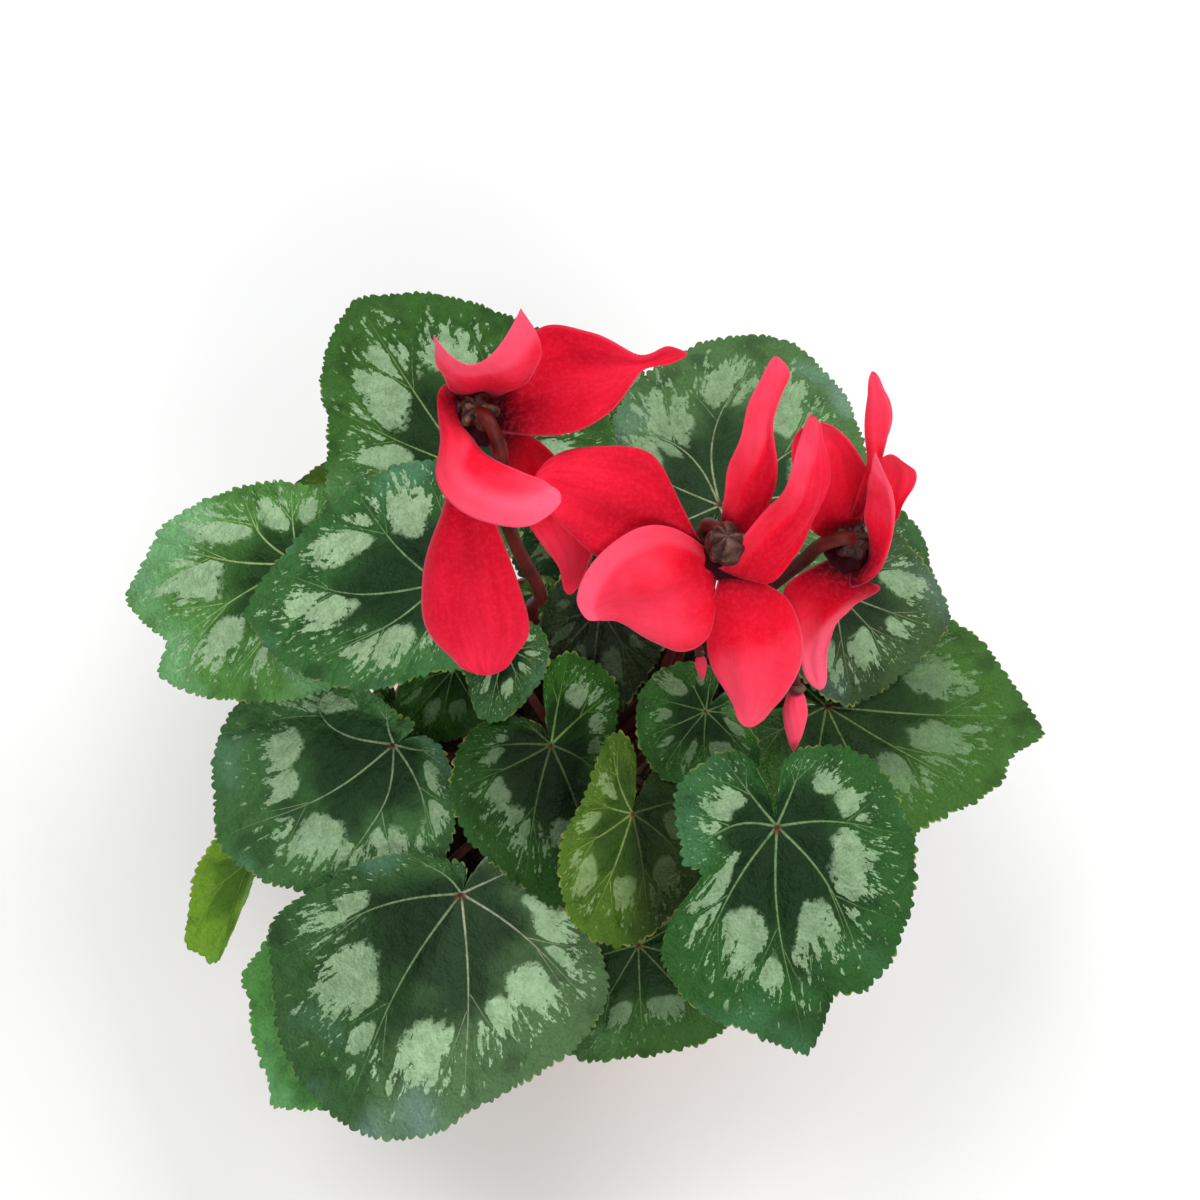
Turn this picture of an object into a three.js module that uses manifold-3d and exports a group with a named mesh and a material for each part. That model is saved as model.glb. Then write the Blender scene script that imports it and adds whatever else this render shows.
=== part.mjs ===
// Potted cyclamen: a tapered clay pot, soil, the half-buried tuber, twenty-five
// heart-shaped leaves, three open blooms and two buds.
// Millimetres, +Z up. The origin is the centre of the pot's flat base.
import * as THREE from 'three';
import { mergeVertices } from 'three/addons/utils/BufferGeometryUtils.js';
import Module from 'manifold-3d';

const wasm = await Module();
wasm.setup();

// ---- driving dimensions ----
const POT = { height: 115, baseRadius: 47, collarRadius: 59, rimRadius: 65, rimDrop: 24, wall: 5, floor: 7 };
const DRAIN = { count: 5, radius: 5, ring: 27 };
const SOIL = { top: 105, gap: 0.3 };
const TUBER = { radius: 27, height: 10, depth: 12, centre: 104, gap: 0.4, flatness: 2.4 };
const SOCKET = { depth: 5, clear: 1, seat: 0.3, neck: 3 };
const STALK_RADIUS = 1.3;
const FLOWER_STEM_RADIUS = 1.9;
const BLADE = { thick: 0.8, inner: 0.3, middle: 0.68, slit: 7, tooth: 0.5 };
const PETAL = { thick: 0.7, rows: 7, columns: 4, tipWidth: 0.16 };
const THROAT = { radius: 6, mouth: 6.8, height: 3.4, wall: 1.4 };
const CALYX = { radius: 4.4, thick: 1.2, gap: 0.4, joint: 1.6, sepals: 5, notch: 0.14 };
// Reaches of a leaf run from its right lobe round the tip to its left lobe.
const REACH_FIRST = -160;
const REACH_STEP = 40;
// Lobes are rounded off beside the slit, and the tip's point fades out sideways (degrees).
const LOBE = { from: 150, span: 23, least: 0.3 };
const POINT_SPREAD = 20;
// A folded blade keeps a rounded crease of this half width.
const CREASE = 3;
// The stalk enters the blade this far along it, and comes up from this far below.
const STALK_END = { along: 1.6, sunk: 0.4, below: 7, bow: 0.12 };

// Each leaf: where the stalk meets the blade, the way the tip points (degrees
// from +X), how far it dips, the reach of the margin in nine directions, how far
// the tip arches down, and the place of its stalk on the crown of the tuber. A swell
// or, below zero, a bite in the margin has its direction, height and half width.
const LEAVES = {
  back_left: { at: [-36, 70, 172], heading: 119, dip: 10, arch: 5, point: 5,
    reach: [34, 42, 48, 60, 76, 46, 42, 43, 34], root: [118, 19] },
  back_right: { at: [38, 58, 172], heading: 74, dip: 13, arch: 5,
    reach: [31, 38, 44, 54, 73, 54, 37, 38, 31], root: [62, 19] },
  far_left: { at: [-86, 45, 159], heading: -150, dip: 19, arch: 6, point: 4,
    reach: [24, 25, 34, 53, 53, 42, 38, 34, 25], swells: [[-28, 6, 7], [-8, -7, 6]],
    root: [152, 21], via: [-58, 32, 126] },
  mid_left: { at: [-42, 27, 186], heading: 180, dip: 16, arch: 6, point: 6,
    reach: [26, 32, 42, 47, 57, 41, 27, 28, 27], root: [146, 13] },
  lower_left: { at: [-58, -4, 138], heading: -158, dip: 18, arch: 6, point: 3,
    reach: [9, 9, 18, 57, 61, 49, 42, 24, 13], swells: [[54, -4, 9]], root: [184, 19] },
  front_left: { at: [-37, -49, 137], heading: -117, dip: 20, arch: 8, point: 0,
    reach: [9, 12, 31, 63, 76, 57, 51, 26, 24], swells: [[-56, 7, 8]], root: [232, 19] },
  front_right: { at: [50, -45, 190], heading: -81, dip: 26, arch: 5, point: 9,
    reach: [24, 28, 27, 51, 56, 46, 36, 30, 21], swells: [[-65, -11, 9], [11, -6.5, 6]],
    root: [318, 19] },
  centre: { at: [-11, -11, 158], heading: -72, dip: 16, arch: 4,
    reach: [9, 22, 32, 38, 46, 20, 18, 26, 27], root: [225, 9] },
  folded_centre: { at: [12, -34, 166], heading: -104, dip: 17, arch: 2, fold: 0.35,
    reach: [24, 15, 15, 25, 37, 29, 25, 21, 17], root: [295, 14], via: [15, -27, 142] },
  far_right: { at: [68, 0, 160], heading: 1, dip: 17, arch: 6, point: 8,
    reach: [31, 38, 43, 46, 65, 54, 28, 24, 24], swells: [[-9, -4, 6]],
    root: [2, 21], via: [47, 5, 134] },
  mid_right: { at: [71, 33, 167], heading: -6, dip: 17, arch: 4, point: 3,
    reach: [15, 25, 33, 31, 36, 33, 25, 19, 16], root: [24, 19] },
  small_right: { at: [32, -11, 186], heading: -127, dip: 24, arch: 4, point: 1, small: true,
    reach: [12, 15, 19, 21, 22, 18, 20, 8, 12], root: [336, 13] },
  small_back: { at: [-9, 80, 165], heading: 47, dip: 14, arch: 4, small: true,
    reach: [16, 18, 14, 15, 44, 38, 23, 20, 16], root: [92, 19] },
  under_front_left: { at: [-63, -71, 117], heading: -135, dip: 21, arch: 5, point: 5,
    reach: [18, 24, 36, 41, 44, 33, 26, 22, 18], swells: [[-50, 4, 6]],
    root: [214, 22], via: [-52, -50, 128] },
  curled_left: { at: [-105, -27, 97], heading: -114, dip: 17, roll: 35, arch: 3, fold: 0.5,
    reach: [12, 13, 17, 25, 34, 16, 12, 12, 12], root: [198, 20], via: [-66, -14, 124] },
  small_left: { at: [-70, 70, 150], heading: 177, dip: 15, arch: 4, small: true,
    reach: [12, 14, 17, 22, 27, 21, 17, 14, 12], root: [135, 21] },
  front_low: { at: [14, -63, 133], heading: -84, dip: 23, arch: 6, point: 1,
    reach: [16, 20, 23, 38, 32, 36, 24, 20, 16], root: [283, 21] },
  dark_centre: { at: [3, 29, 163], heading: -96, dip: 12, arch: 4,
    reach: [15, 15, 17, 24, 32, 24, 20, 18, 14], root: [75, 12] },
  small_mid_left: { at: [-41, 20, 138], heading: -135, dip: 13, arch: 4, small: true,
    reach: [13, 15, 19, 16, 25, 21, 18, 15, 13], root: [166, 18] },
  small_centre: { at: [-24, 13, 172], heading: -104, dip: 17, arch: 3, small: true,
    reach: [10, 12, 14, 14, 21, 15, 13, 12, 10], root: [170, 9] },
  under_right: { at: [78, 50, 150], heading: 8, dip: 18, arch: 4,
    reach: [14, 16, 19, 24, 29, 31, 19, 16, 14], root: [38, 22] },
  brown_right: { at: [52, 0, 154], heading: -108, dip: 18, arch: 4, small: true,
    reach: [11, 13, 15, 19, 26, 19, 12, 11, 11], root: [344, 20], via: [38, -9, 134] },
  behind_blooms: { at: [3, 64, 157], heading: -124, dip: 13, arch: 4, small: true,
    reach: [9, 9, 16, 30, 29, 22, 18, 15, 13], root: [80, 16] },
  young_centre: { at: [-13, 37, 156], heading: -170, dip: 22, arch: 1, small: true,
    reach: [4, 5, 6, 9, 13, 8, 6, 5, 4], root: [110, 12] },
  young_left: { at: [-60, 14, 124], heading: -110, dip: 18, arch: 1, small: true,
    reach: [5, 7, 8, 10, 12, 10, 8, 7, 5], root: [174, 22], via: [-50, 8, 117] },
};

// Each bloom: the eye, its petals and the path of its stem. Petals give their two
// margins and tip from the eye; sag bends the middle of the blade.
const BLOOMS = {
  left: {
    eye: [-28, 45, 250],
    petals: [
      { a: [[-5, 6, 0.5], [-8, 5.5, 8], [-10.5, 7.5, 18], [-11, 10, 25]],
        b: [[5.5, 6, 1], [14, 5.5, 12], [16.5, 8, 25], [12, 12.5, 34]], sag: [0, -9, -7], open: true },
      { a: [[5.5, 5.5, 2], [15.5, 19.5, 13], [29, 16.5, 16], [41, 10.5, 15], [48, 13, 15]],
        b: [[6.5, -3.5, 0], [21, -6, 4], [33.5, -2, 8], [41.5, 7.5, 13], [48, 9.5, 12]],
        tip: [53, 11, 15], sag: [0, 0, -3] },
      { a: [[-5.5, 6.5, 2], [-8.5, 8.5, 4], [-10.5, 4.5, 5], [-8, -7, 3], [-9, -17, 1],
          [-5.5, -22.5, 0], [1.5, -27.5, 0], [12.5, -29, 0]],
        b: [[-5.5, 5, 1], [-4.5, -1.5, 1.5], [-0.5, -7, 1.5], [5.5, -13.5, 3],
          [12.5, -17.5, 5], [17.5, -20.5, 6]],
        tip: [21, -24, 4], sag: [-1, -1, 2], rows: 11 },
      { a: [[6, -2, -3], [13, -0.5, -8], [19.5, -4.5, -14], [27, -14, -21], [28.5, -26.5, -28]],
        b: [[3, -6.5, -3], [4.5, -11, -12], [12.5, -20, -21], [19.5, -27.5, -29]],
        tip: [23, -34, -34], sag: [2, 0, 2] },
      { a: [[-6, -4, -3], [-10, -19, -14], [-16, -31, -28], [-15, -42, -38], [-6, -50, -45]],
        b: [[0, -7, -3], [4, -22, -14], [10, -34, -28], [12, -44, -38], [6, -50, -44]],
        tip: [1, -52, -47], sag: [0, -3, 3] },
    ],
    stem: [[-17, 29, 160], [-14, 27, 178], [-20, 28, 212], [-23.2, 29.5, 238],
      [-22.2, 35, 252], [-25, 40.5, 257.5]],
    root: [120, 4],
  },
  middle: {
    eye: [35, 13, 238],
    petals: [
      { a: [[-6.5, 3.5, 1], [-10.5, 10.5, 3.5], [-19, 23.5, 9], [-32, 25, 11], [-43.5, 24, 7]],
        b: [[-5.5, 2.5, -1.5], [-18, 3.5, -4], [-31, 1, -5], [-41, 7, 0], [-46, 12, 3]],
        tip: [-49.5, 17.5, 5], sag: [0, 0, 3] },
      { a: [[-5, 0.5, 1.5], [-13, 5.5, 3], [-22, 5.5, 2.5], [-31.5, 0.5, -2], [-37.5, -7.5, -8]],
        b: [[-2.5, -8, -2], [-2.5, -13.5, -7], [-5, -19.5, -11], [-11.5, -21.5, -14], [-25.5, -13.5, -15]],
        tip: [-35, -12, -13], sag: [0, 0, 3] },
      { a: [[-2.5, -9, -2], [-4.5, -14, -9], [-4, -20.5, -19], [1, -28.5, -27]],
        b: [[5, -5, -1], [16.5, -9.5, -8], [21, -18.5, -17], [16.5, -29.5, -26]],
        tip: [7, -35.5, -32], sag: [0, -2, 3] },
      { a: [[-3.5, -4.5, 0.5], [-1, -5, 3], [3, -1, 9], [8.5, 3, 15], [13.5, 6, 21],
          [16, 11, 27], [18.5, 16.5, 33]],
        b: [[5.5, -6.5, -0.5], [11.5, -8.5, 1], [17.5, -2.5, 6], [21.5, 4, 12],
          [24.5, 11, 20], [24, 16.5, 26]],
        tip: [20.5, 19.5, 37], sag: [2, -2, -2] },
      { a: [[-1, 7, 2], [-1, 12, 14], [2, 19, 24], [5, 26, 32], [9, 32, 36]],
        b: [[6, 3, 2], [11, 10, 12], [10, 16, 20], [11, 24, 28], [15, 33, 34]],
        tip: [13, 36, 37], sag: [0, 0, -2] },
    ],
    stem: [[24, 15, 152], [27, 19, 178], [28, 24, 215], [29.6, 20.7, 235],
      [30.8, 18.7, 243], [33, 15.5, 246]],
    root: [40, 7],
  },
  right: {
    eye: [68, 17, 232],
    petals: [
      { a: [[-1, 6, 2], [2, 14, 20], [1, 22, 32]],
        b: [[4, 6, 2], [7, 17, 20], [8, 25, 32]], tip: [2, 29, 42], sag: [0, -2, 0] },
      { a: [[5, 4, 2], [5, 10, 14], [5, 14, 23]],
        b: [[7, 1, 2], [11, 4, 14], [14, 10, 24]], tip: [8, 13, 28], sag: [1, 0, -1] },
      { a: [[5.2, -1.6, 2.5], [2.5, 2.5, 13], [2, 6.5, 24]],
        b: [[-0.5, -10.5, -1], [6.5, -8.5, 4], [10, -0.5, 13], [8.5, 4.5, 25]],
        tip: [2.5, 9, 35], sag: [2, -2, 0] },
      { a: [[-3.5, 1.5, 0], [-9.5, 3, 3], [-14.5, 5.5, 11], [-17, 11, 22], [-16, 18.5, 28]],
        b: [[2, 4, 2], [4, 10.5, 12], [1.5, 15, 22], [-3, 17.5, 28]],
        tip: [-9.5, 20, 32], sag: [0, 2, -2] },
      { a: [[-6, -3, 0], [-17, -8, -8], [-13, -15, -18], [-11, -23, -25]],
        b: [[2, -8, -1], [7, -11, 0], [-1, -15, -10], [-6, -20, -20]],
        tip: [-7, -29, -27], sag: [0, -2, -3] },
    ],
    stem: [[29, 11, 152], [34, 14, 176], [47, 17, 203], [57, 17, 226], [60, 16.5, 235.5], [65, 16.5, 239.5]],
    root: [10, 8],
  },
};

const BUDS = {
  large: { neck: [55, -12, 206], tip: [55, -25, 192], radius: 3.2,
    stem: [[34, 2, 150], [46, 1, 186], [51, -4, 206], [54, -9, 210]], root: [345, 8] },
  small: { neck: [30, 1, 198], tip: [31, -5, 194], radius: 1.6,
    stem: [[20, 8, 148], [22, 9, 172], [25, 8, 190], [28, 5, 199]], root: [0, 3] },
};

// ---- colours ----
const clay = new THREE.MeshStandardMaterial({ color: 0xa9583a, roughness: 0.9 });
const earth = new THREE.MeshStandardMaterial({ color: 0x2e2119, roughness: 1 });
const corm = new THREE.MeshStandardMaterial({ color: 0x5a4030, roughness: 0.95 });
const leafGreen = new THREE.MeshStandardMaterial({ color: 0x2f6138, roughness: 0.6 });
const youngGreen = new THREE.MeshStandardMaterial({ color: 0x6f8a2e, roughness: 0.6 });
const petalRed = new THREE.MeshStandardMaterial({ color: 0xee2a44, roughness: 0.55 });
const stemBrown = new THREE.MeshStandardMaterial({ color: 0x4a1f1a, roughness: 0.6 });
const YOUNG = ['curled_left', 'folded_centre', 'brown_right', 'young_centre', 'young_left', 'small_left'];

// ---- solids ----
function vector(xyz) {
  return new THREE.Vector3(...xyz);
}

function raised(point, height) {
  return point.clone().setZ(point.z + height);
}

function solidOf(geometry) {
  const bare = geometry.clone();
  bare.deleteAttribute('normal');
  bare.deleteAttribute('uv');
  const merged = mergeVertices(bare, 1e-4);
  const mesh = new wasm.Mesh({
    numProp: 3,
    vertProperties: Float32Array.from(merged.attributes.position.array),
    triVerts: Uint32Array.from(merged.index.array),
  });
  return new wasm.Manifold(mesh);
}

function geometryOf(solid) {
  const mesh = solid.getMesh();
  const geometry = new THREE.BufferGeometry();
  geometry.setAttribute('position', new THREE.BufferAttribute(Float32Array.from(mesh.vertProperties), 3));
  geometry.setIndex(Array.from(mesh.triVerts));
  geometry.computeVertexNormals();
  return geometry;
}

function united(solids) {
  return solids.reduce((whole, next) => whole.add(next));
}

// A closed skin from a sheet: the same triangles on both faces and a wall round
// the loop of its edge.
function sheet(tops, bottoms, faces, loop) {
  const count = tops.length;
  const index = [];
  for (const [a, b, c] of faces) {
    index.push(a, b, c);
    index.push(count + a, count + c, count + b);
  }
  loop.forEach((from, i) => {
    const to = loop[(i + 1) % loop.length];
    index.push(count + from, count + to, to);
    index.push(count + from, to, from);
  });
  const geometry = new THREE.BufferGeometry();
  geometry.setAttribute('position', new THREE.Float32BufferAttribute(
    [...tops, ...bottoms].flatMap((point) => point.toArray()), 3));
  geometry.setIndex(index);
  return geometry;
}

// A body turned round an upright axis, from its profile of [radius, height].
function turned(profile, segments) {
  const points = profile.map(([radius, height]) => new THREE.Vector2(radius, height));
  return new THREE.LatheGeometry(points, segments).rotateX(Math.PI / 2);
}

// A round rod along a smooth curve through points, with two rings for each span.
function rod(points, radius, sides = 5) {
  const outline = new THREE.Shape();
  for (let i = 0; i < sides; i += 1) {
    const angle = (2 * Math.PI * i) / sides;
    const corner = [radius * Math.cos(angle), radius * Math.sin(angle)];
    if (i === 0) outline.moveTo(...corner);
    else outline.lineTo(...corner);
  }
  outline.closePath();
  const path = new THREE.CatmullRomCurve3(points);
  path.getUtoTmapping = (share) => share;
  const steps = 2 * (points.length - 1);
  return new THREE.ExtrudeGeometry(outline, { steps, bevelEnabled: false, extrudePath: path });
}

function pillar(x, y, bottom, top, radius, sides = 6) {
  const geometry = new THREE.CylinderGeometry(radius, radius, top - bottom, sides);
  return geometry.rotateX(Math.PI / 2).translate(x, y, (top + bottom) / 2);
}

// ---- pot, soil and tuber ----
function pot() {
  const { height, baseRadius, collarRadius, rimRadius, rimDrop, wall, floor } = POT;
  const body = solidOf(turned([
    [0, 0],
    [baseRadius - 2, 0],
    [baseRadius, 2],
    [collarRadius, height - rimDrop],
    [rimRadius - 1, height - rimDrop + 1.5],
    [rimRadius, height - rimDrop + 4],
    [rimRadius, height - 3],
    [rimRadius - 2, height],
    [rimRadius - wall, height],
    [rimRadius - wall - 1, height - 2],
    [collarRadius - wall, height - rimDrop - 4],
    [baseRadius - wall, floor],
    [0, floor],
  ], 32));
  let pierced = body;
  for (let i = 0; i < DRAIN.count; i += 1) {
    const angle = (2 * Math.PI * i) / DRAIN.count;
    const [x, y] = [DRAIN.ring * Math.cos(angle), DRAIN.ring * Math.sin(angle)];
    const hole = pillar(x, y, -1, floor + 1, DRAIN.radius, 12);
    pierced = pierced.subtract(solidOf(hole));
  }
  return geometryOf(pierced);
}

function tuberShape(extra) {
  const { radius, height, depth, centre } = TUBER;
  const wide = radius + extra;
  return turned([
    [0, centre - depth - extra],
    [0.6 * wide, centre - 0.8 * (depth + extra)],
    [0.92 * wide, centre - 0.4 * (depth + extra)],
    [wide, centre],
    [0.93 * wide, centre + 0.5 * (height + extra)],
    [0.68 * wide, centre + 0.86 * (height + extra)],
    [0.3 * wide, centre + height + extra],
    [0, centre + height + extra],
  ], 20);
}

function soil() {
  const { baseRadius, collarRadius, rimRadius, rimDrop, height, wall, floor } = POT;
  const { top, gap } = SOIL;
  const inset = wall + 1.5 * gap;
  const body = solidOf(turned([
    [0, floor + gap],
    [baseRadius - inset, floor + gap],
    [collarRadius - inset, height - rimDrop - 4],
    [rimRadius - inset - 2.4, top - 1.5],
    [0.7 * rimRadius, top + 0.6],
    [0.55 * rimRadius, top - 0.4],
    [0, top],
  ], 32));
  return geometryOf(body.subtract(solidOf(tuberShape(TUBER.gap))));
}

// Height of the tuber's crown at a distance from its axis.
function crownHeight(distance) {
  const { radius, height, centre } = TUBER;
  const share = Math.min(distance / radius, 0.95);
  return centre + height * Math.sqrt(1 - share ** TUBER.flatness);
}

// Foot of a stalk, seated in its socket in the tuber; root is [degrees, distance].
function foot([degrees, distance]) {
  const angle = THREE.MathUtils.degToRad(degrees);
  const bottom = crownHeight(distance) - SOCKET.depth + SOCKET.seat;
  return new THREE.Vector3(distance * Math.cos(angle), distance * Math.sin(angle), bottom);
}

function tuber(stalks) {
  let body = solidOf(tuberShape(0));
  for (const { root, radius } of stalks) {
    const { x, y, z } = foot(root);
    const socket = pillar(x, y, z - SOCKET.seat, z + 3 * SOCKET.depth, radius + SOCKET.clear);
    body = body.subtract(solidOf(socket));
  }
  return geometryOf(body);
}

// ---- leaves ----
function bladeFrame({ heading, dip, roll = 0 }) {
  const [h, d, r] = [heading, dip, roll].map(THREE.MathUtils.degToRad);
  const along = new THREE.Vector3(Math.cos(h) * Math.cos(d), Math.sin(h) * Math.cos(d), -Math.sin(d));
  const level = new THREE.Vector3(-Math.sin(h), Math.cos(h), 0);
  const across = level.clone().applyAxisAngle(along, r);
  const up = new THREE.Vector3().crossVectors(along, across);
  return { along, across, up };
}

// Distance from the stalk to the margin, smooth through the nine reaches, with
// rounded lobes beside the slit, a small point at the tip, and swells or bites.
function marginReach({ reach, point = 0, swells = [] }, degrees) {
  const place = THREE.MathUtils.clamp((degrees - REACH_FIRST) / REACH_STEP, 0, reach.length - 1.001);
  const k = Math.floor(place);
  const t = place - k;
  const near = [k - 1, k, k + 1, k + 2].map((i) => THREE.MathUtils.clamp(i, 0, reach.length - 1));
  const [p0, p1, p2, p3] = near.map((i) => reach[i]);
  const bend = 2 * p0 - 5 * p1 + 4 * p2 - p3 + t * (3 * (p1 - p2) + p3 - p0);
  const smooth = p1 + 0.5 * t * (p2 - p0 + t * bend);
  const lobe = THREE.MathUtils.clamp((Math.abs(degrees) - LOBE.from) / LOBE.span, 0, 1);
  const rounding = LOBE.least + (1 - LOBE.least) * Math.sqrt(1 - lobe * lobe);
  const tip = point * Math.max(0, 1 - Math.abs(degrees) / POINT_SPREAD) ** 2;
  return swells.reduce(
    (total, [middle, height, spread]) => total + height * Math.exp(-(((degrees - middle) / spread) ** 2)),
    smooth * rounding + tip,
  );
}

// A point of the blade's upper face, at a share of the way out to the margin.
function bladePoint(leaf, frame, degrees, share, tooth = 0) {
  const { at, reach, arch, fold = 0 } = leaf;
  const angle = THREE.MathUtils.degToRad(degrees);
  const radius = share * marginReach(leaf, degrees) + tooth;
  const sideways = radius * Math.sin(angle);
  const lift = fold * (Math.hypot(sideways, CREASE) - CREASE) - arch * (radius / reach[4]) ** 2;
  return vector(at)
    .addScaledVector(frame.along, radius * Math.cos(angle))
    .addScaledVector(frame.across, sideways)
    .addScaledVector(frame.up, lift);
}

function blade(leaf) {
  const frame = bladeFrame(leaf);
  const inner = leaf.small ? 6 : 8;
  const rings = [
    { share: BLADE.inner, segments: inner },
    { share: BLADE.middle, segments: 2 * inner },
    { share: 1, segments: 6 * inner },
  ];
  const tops = [vector(leaf.at)];
  const starts = [];
  rings.forEach(({ share, segments }, level) => {
    starts.push(tops.length);
    for (let i = 0; i <= segments; i += 1) {
      const degrees = (BLADE.slit - 180) + ((360 - 2 * BLADE.slit) * i) / segments;
      const toothed = level === rings.length - 1 && i > 0 && i < segments;
      const tooth = toothed ? BLADE.tooth * (i % 2 === 0 ? -1 : 1) : 0;
      tops.push(bladePoint(leaf, frame, degrees, share, tooth));
    }
  });
  const faces = [];
  for (let i = 0; i < inner; i += 1) faces.push([0, starts[0] + i, starts[0] + i + 1]);
  for (let level = 1; level < rings.length; level += 1) {
    const ratio = rings[level].segments / rings[level - 1].segments;
    const middle = Math.floor(ratio / 2);
    for (let i = 0; i < rings[level - 1].segments; i += 1) {
      const near = starts[level - 1] + i;
      const far = starts[level] + i * ratio;
      for (let j = 0; j < ratio; j += 1) {
        faces.push([j < middle ? near : near + 1, far + j, far + j + 1]);
        if (j + 1 === middle) faces.push([near, far + middle, near + 1]);
      }
    }
  }
  const [first, second, margin] = starts;
  const loop = [0, first, second];
  for (let i = 0; i <= rings[2].segments; i += 1) loop.push(margin + i);
  loop.push(second + rings[1].segments, first + rings[0].segments);
  const bottoms = tops.map((point) => point.clone().addScaledVector(frame.up, -BLADE.thick));
  return sheet(tops, bottoms, faces, loop);
}

// The stalk rises from its socket and meets the blade from below.
function stalk(leaf) {
  const frame = bladeFrame(leaf);
  const start = foot(leaf.root);
  const end = vector(leaf.at)
    .addScaledVector(frame.along, STALK_END.along)
    .addScaledVector(frame.up, -STALK_END.sunk);
  const below = end.clone().addScaledVector(frame.up, -STALK_END.below);
  const middle = new THREE.Vector3().lerpVectors(start, below, 0.5);
  const bend = leaf.via ? vector(leaf.via) : raised(middle, STALK_END.bow * (below.z - start.z));
  const neck = raised(start, SOCKET.depth + SOCKET.neck);
  return rod([start, neck, bend, below, end], STALK_RADIUS);
}

function leafGeometry(leaf) {
  return geometryOf(solidOf(blade(leaf)).add(solidOf(stalk(leaf))));
}

// ---- blooms ----
// A petal's margin starts on the throat's ring, beside its first point.
function marginCurve(points, tip) {
  const [x, y, z] = points[0];
  const ring = THROAT.radius / Math.hypot(x, y);
  const start = new THREE.Vector3(x * ring, y * ring, THREE.MathUtils.clamp(z, -1, 0));
  const rest = points.map(vector);
  return new THREE.CatmullRomCurve3(tip ? [start, ...rest, vector(tip)] : [start, ...rest]);
}

function petal({ a, b, tip, sag, open = false, rows = PETAL.rows }) {
  const { columns, thick, tipWidth } = PETAL;
  const left = marginCurve(a, tip);
  const right = marginCurve(b, tip);
  const grid = [];
  for (let i = 0; i <= rows; i += 1) {
    const t = i / rows;
    const [from, to] = [left.getPointAt(t), right.getPointAt(t)];
    if (tip && i === rows) {
      const before = (rows - 1) / rows;
      const spread = right.getPointAt(before).sub(left.getPointAt(before));
      from.addScaledVector(spread, -tipWidth);
      to.addScaledVector(spread, tipWidth);
    }
    const bend = open ? t ** 2 : Math.sin(Math.PI * t);
    for (let j = 0; j <= columns; j += 1) {
      const s = j / columns;
      const point = new THREE.Vector3().lerpVectors(from, to, s);
      grid.push(point.addScaledVector(vector(sag), 4 * s * (1 - s) * bend));
    }
  }
  const width = columns + 1;
  const faces = [];
  for (let i = 0; i < rows; i += 1) {
    for (let j = 0; j < columns; j += 1) {
      const corner = i * width + j;
      faces.push([corner, corner + width, corner + width + 1]);
      faces.push([corner, corner + width + 1, corner + 1]);
    }
  }
  const loop = [];
  for (let i = 0; i < rows; i += 1) loop.push(i * width);
  for (let j = 0; j < columns; j += 1) loop.push(rows * width + j);
  for (let i = rows; i > 0; i -= 1) loop.push(i * width + columns);
  for (let j = columns; j > 0; j -= 1) loop.push(j);
  const middle = new THREE.BufferGeometry().setFromPoints(grid);
  middle.setIndex(faces.flat());
  middle.computeVertexNormals();
  const normals = middle.attributes.normal;
  const offset = (side) => grid.map((point, i) => point.clone()
    .addScaledVector(new THREE.Vector3().fromBufferAttribute(normals, i), side * thick / 2));
  return sheet(offset(1), offset(-1), faces, loop);
}

function throat() {
  const { mouth, height, wall } = THROAT;
  return turned([
    [0, height - wall - 0.4],
    [0.6 * mouth, height - wall - 1.6],
    [mouth - wall - 0.4, -2.4],
    [mouth - 0.4, -2.6],
    [mouth, -1.2],
    [0.92 * mouth, 0.8],
    [0.6 * mouth, height - 0.6],
    [0, height],
  ], 10);
}

function calyx(bottom) {
  const { radius, thick, sepals } = CALYX;
  const cap = turned([
    [0, bottom],
    [0.6 * radius, bottom - 0.2],
    [radius, bottom - 0.9],
    [radius, bottom - 0.1],
    [0.6 * radius, bottom + thick],
    [0, bottom + thick + 0.8],
  ], 2 * sepals);
  const places = cap.attributes.position;
  for (let i = 0; i < places.count; i += 1) {
    const [x, y] = [places.getX(i), places.getY(i)];
    const ripple = 1 - CALYX.notch * (1 - Math.cos(sepals * Math.atan2(y, x)));
    const draw = Math.hypot(x, y) > 0.8 * radius ? ripple : 1;
    places.setXY(i, x * draw, y * draw);
  }
  return cap;
}

function bloomPetals({ eye, petals }) {
  const pieces = petals.map((one) => solidOf(petal(one)));
  return geometryOf(united([solidOf(throat()), ...pieces]).translate(eye));
}

function bloomStem({ eye, stem, root }) {
  const top = raised(vector(eye), THROAT.height + CALYX.gap + CALYX.joint);
  const start = foot(root);
  const neck = raised(start, SOCKET.depth + SOCKET.neck);
  const route = rod([start, neck, ...stem.map(vector), top], FLOWER_STEM_RADIUS, 6);
  const cap = calyx(THROAT.height + CALYX.gap).translate(...eye);
  return geometryOf(solidOf(route).add(solidOf(cap)));
}

// A closed bud hangs from its neck, its petals rolled to a point.
function budFrame({ neck, tip }) {
  const axis = vector(tip).sub(vector(neck));
  const length = axis.length();
  const turn = new THREE.Quaternion().setFromUnitVectors(new THREE.Vector3(0, 0, -1), axis.normalize());
  return { length, turn, place: vector(neck) };
}

function budPetals(bud) {
  const { length, turn, place } = budFrame(bud);
  const body = turned([
    [0, -length],
    [0.35 * bud.radius, -0.88 * length],
    [0.9 * bud.radius, -0.55 * length],
    [bud.radius, -0.3 * length],
    [0.6 * bud.radius, -0.08 * length],
    [0, -0.05 * length],
  ], 8);
  return body.applyQuaternion(turn).translate(...place.toArray());
}

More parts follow.
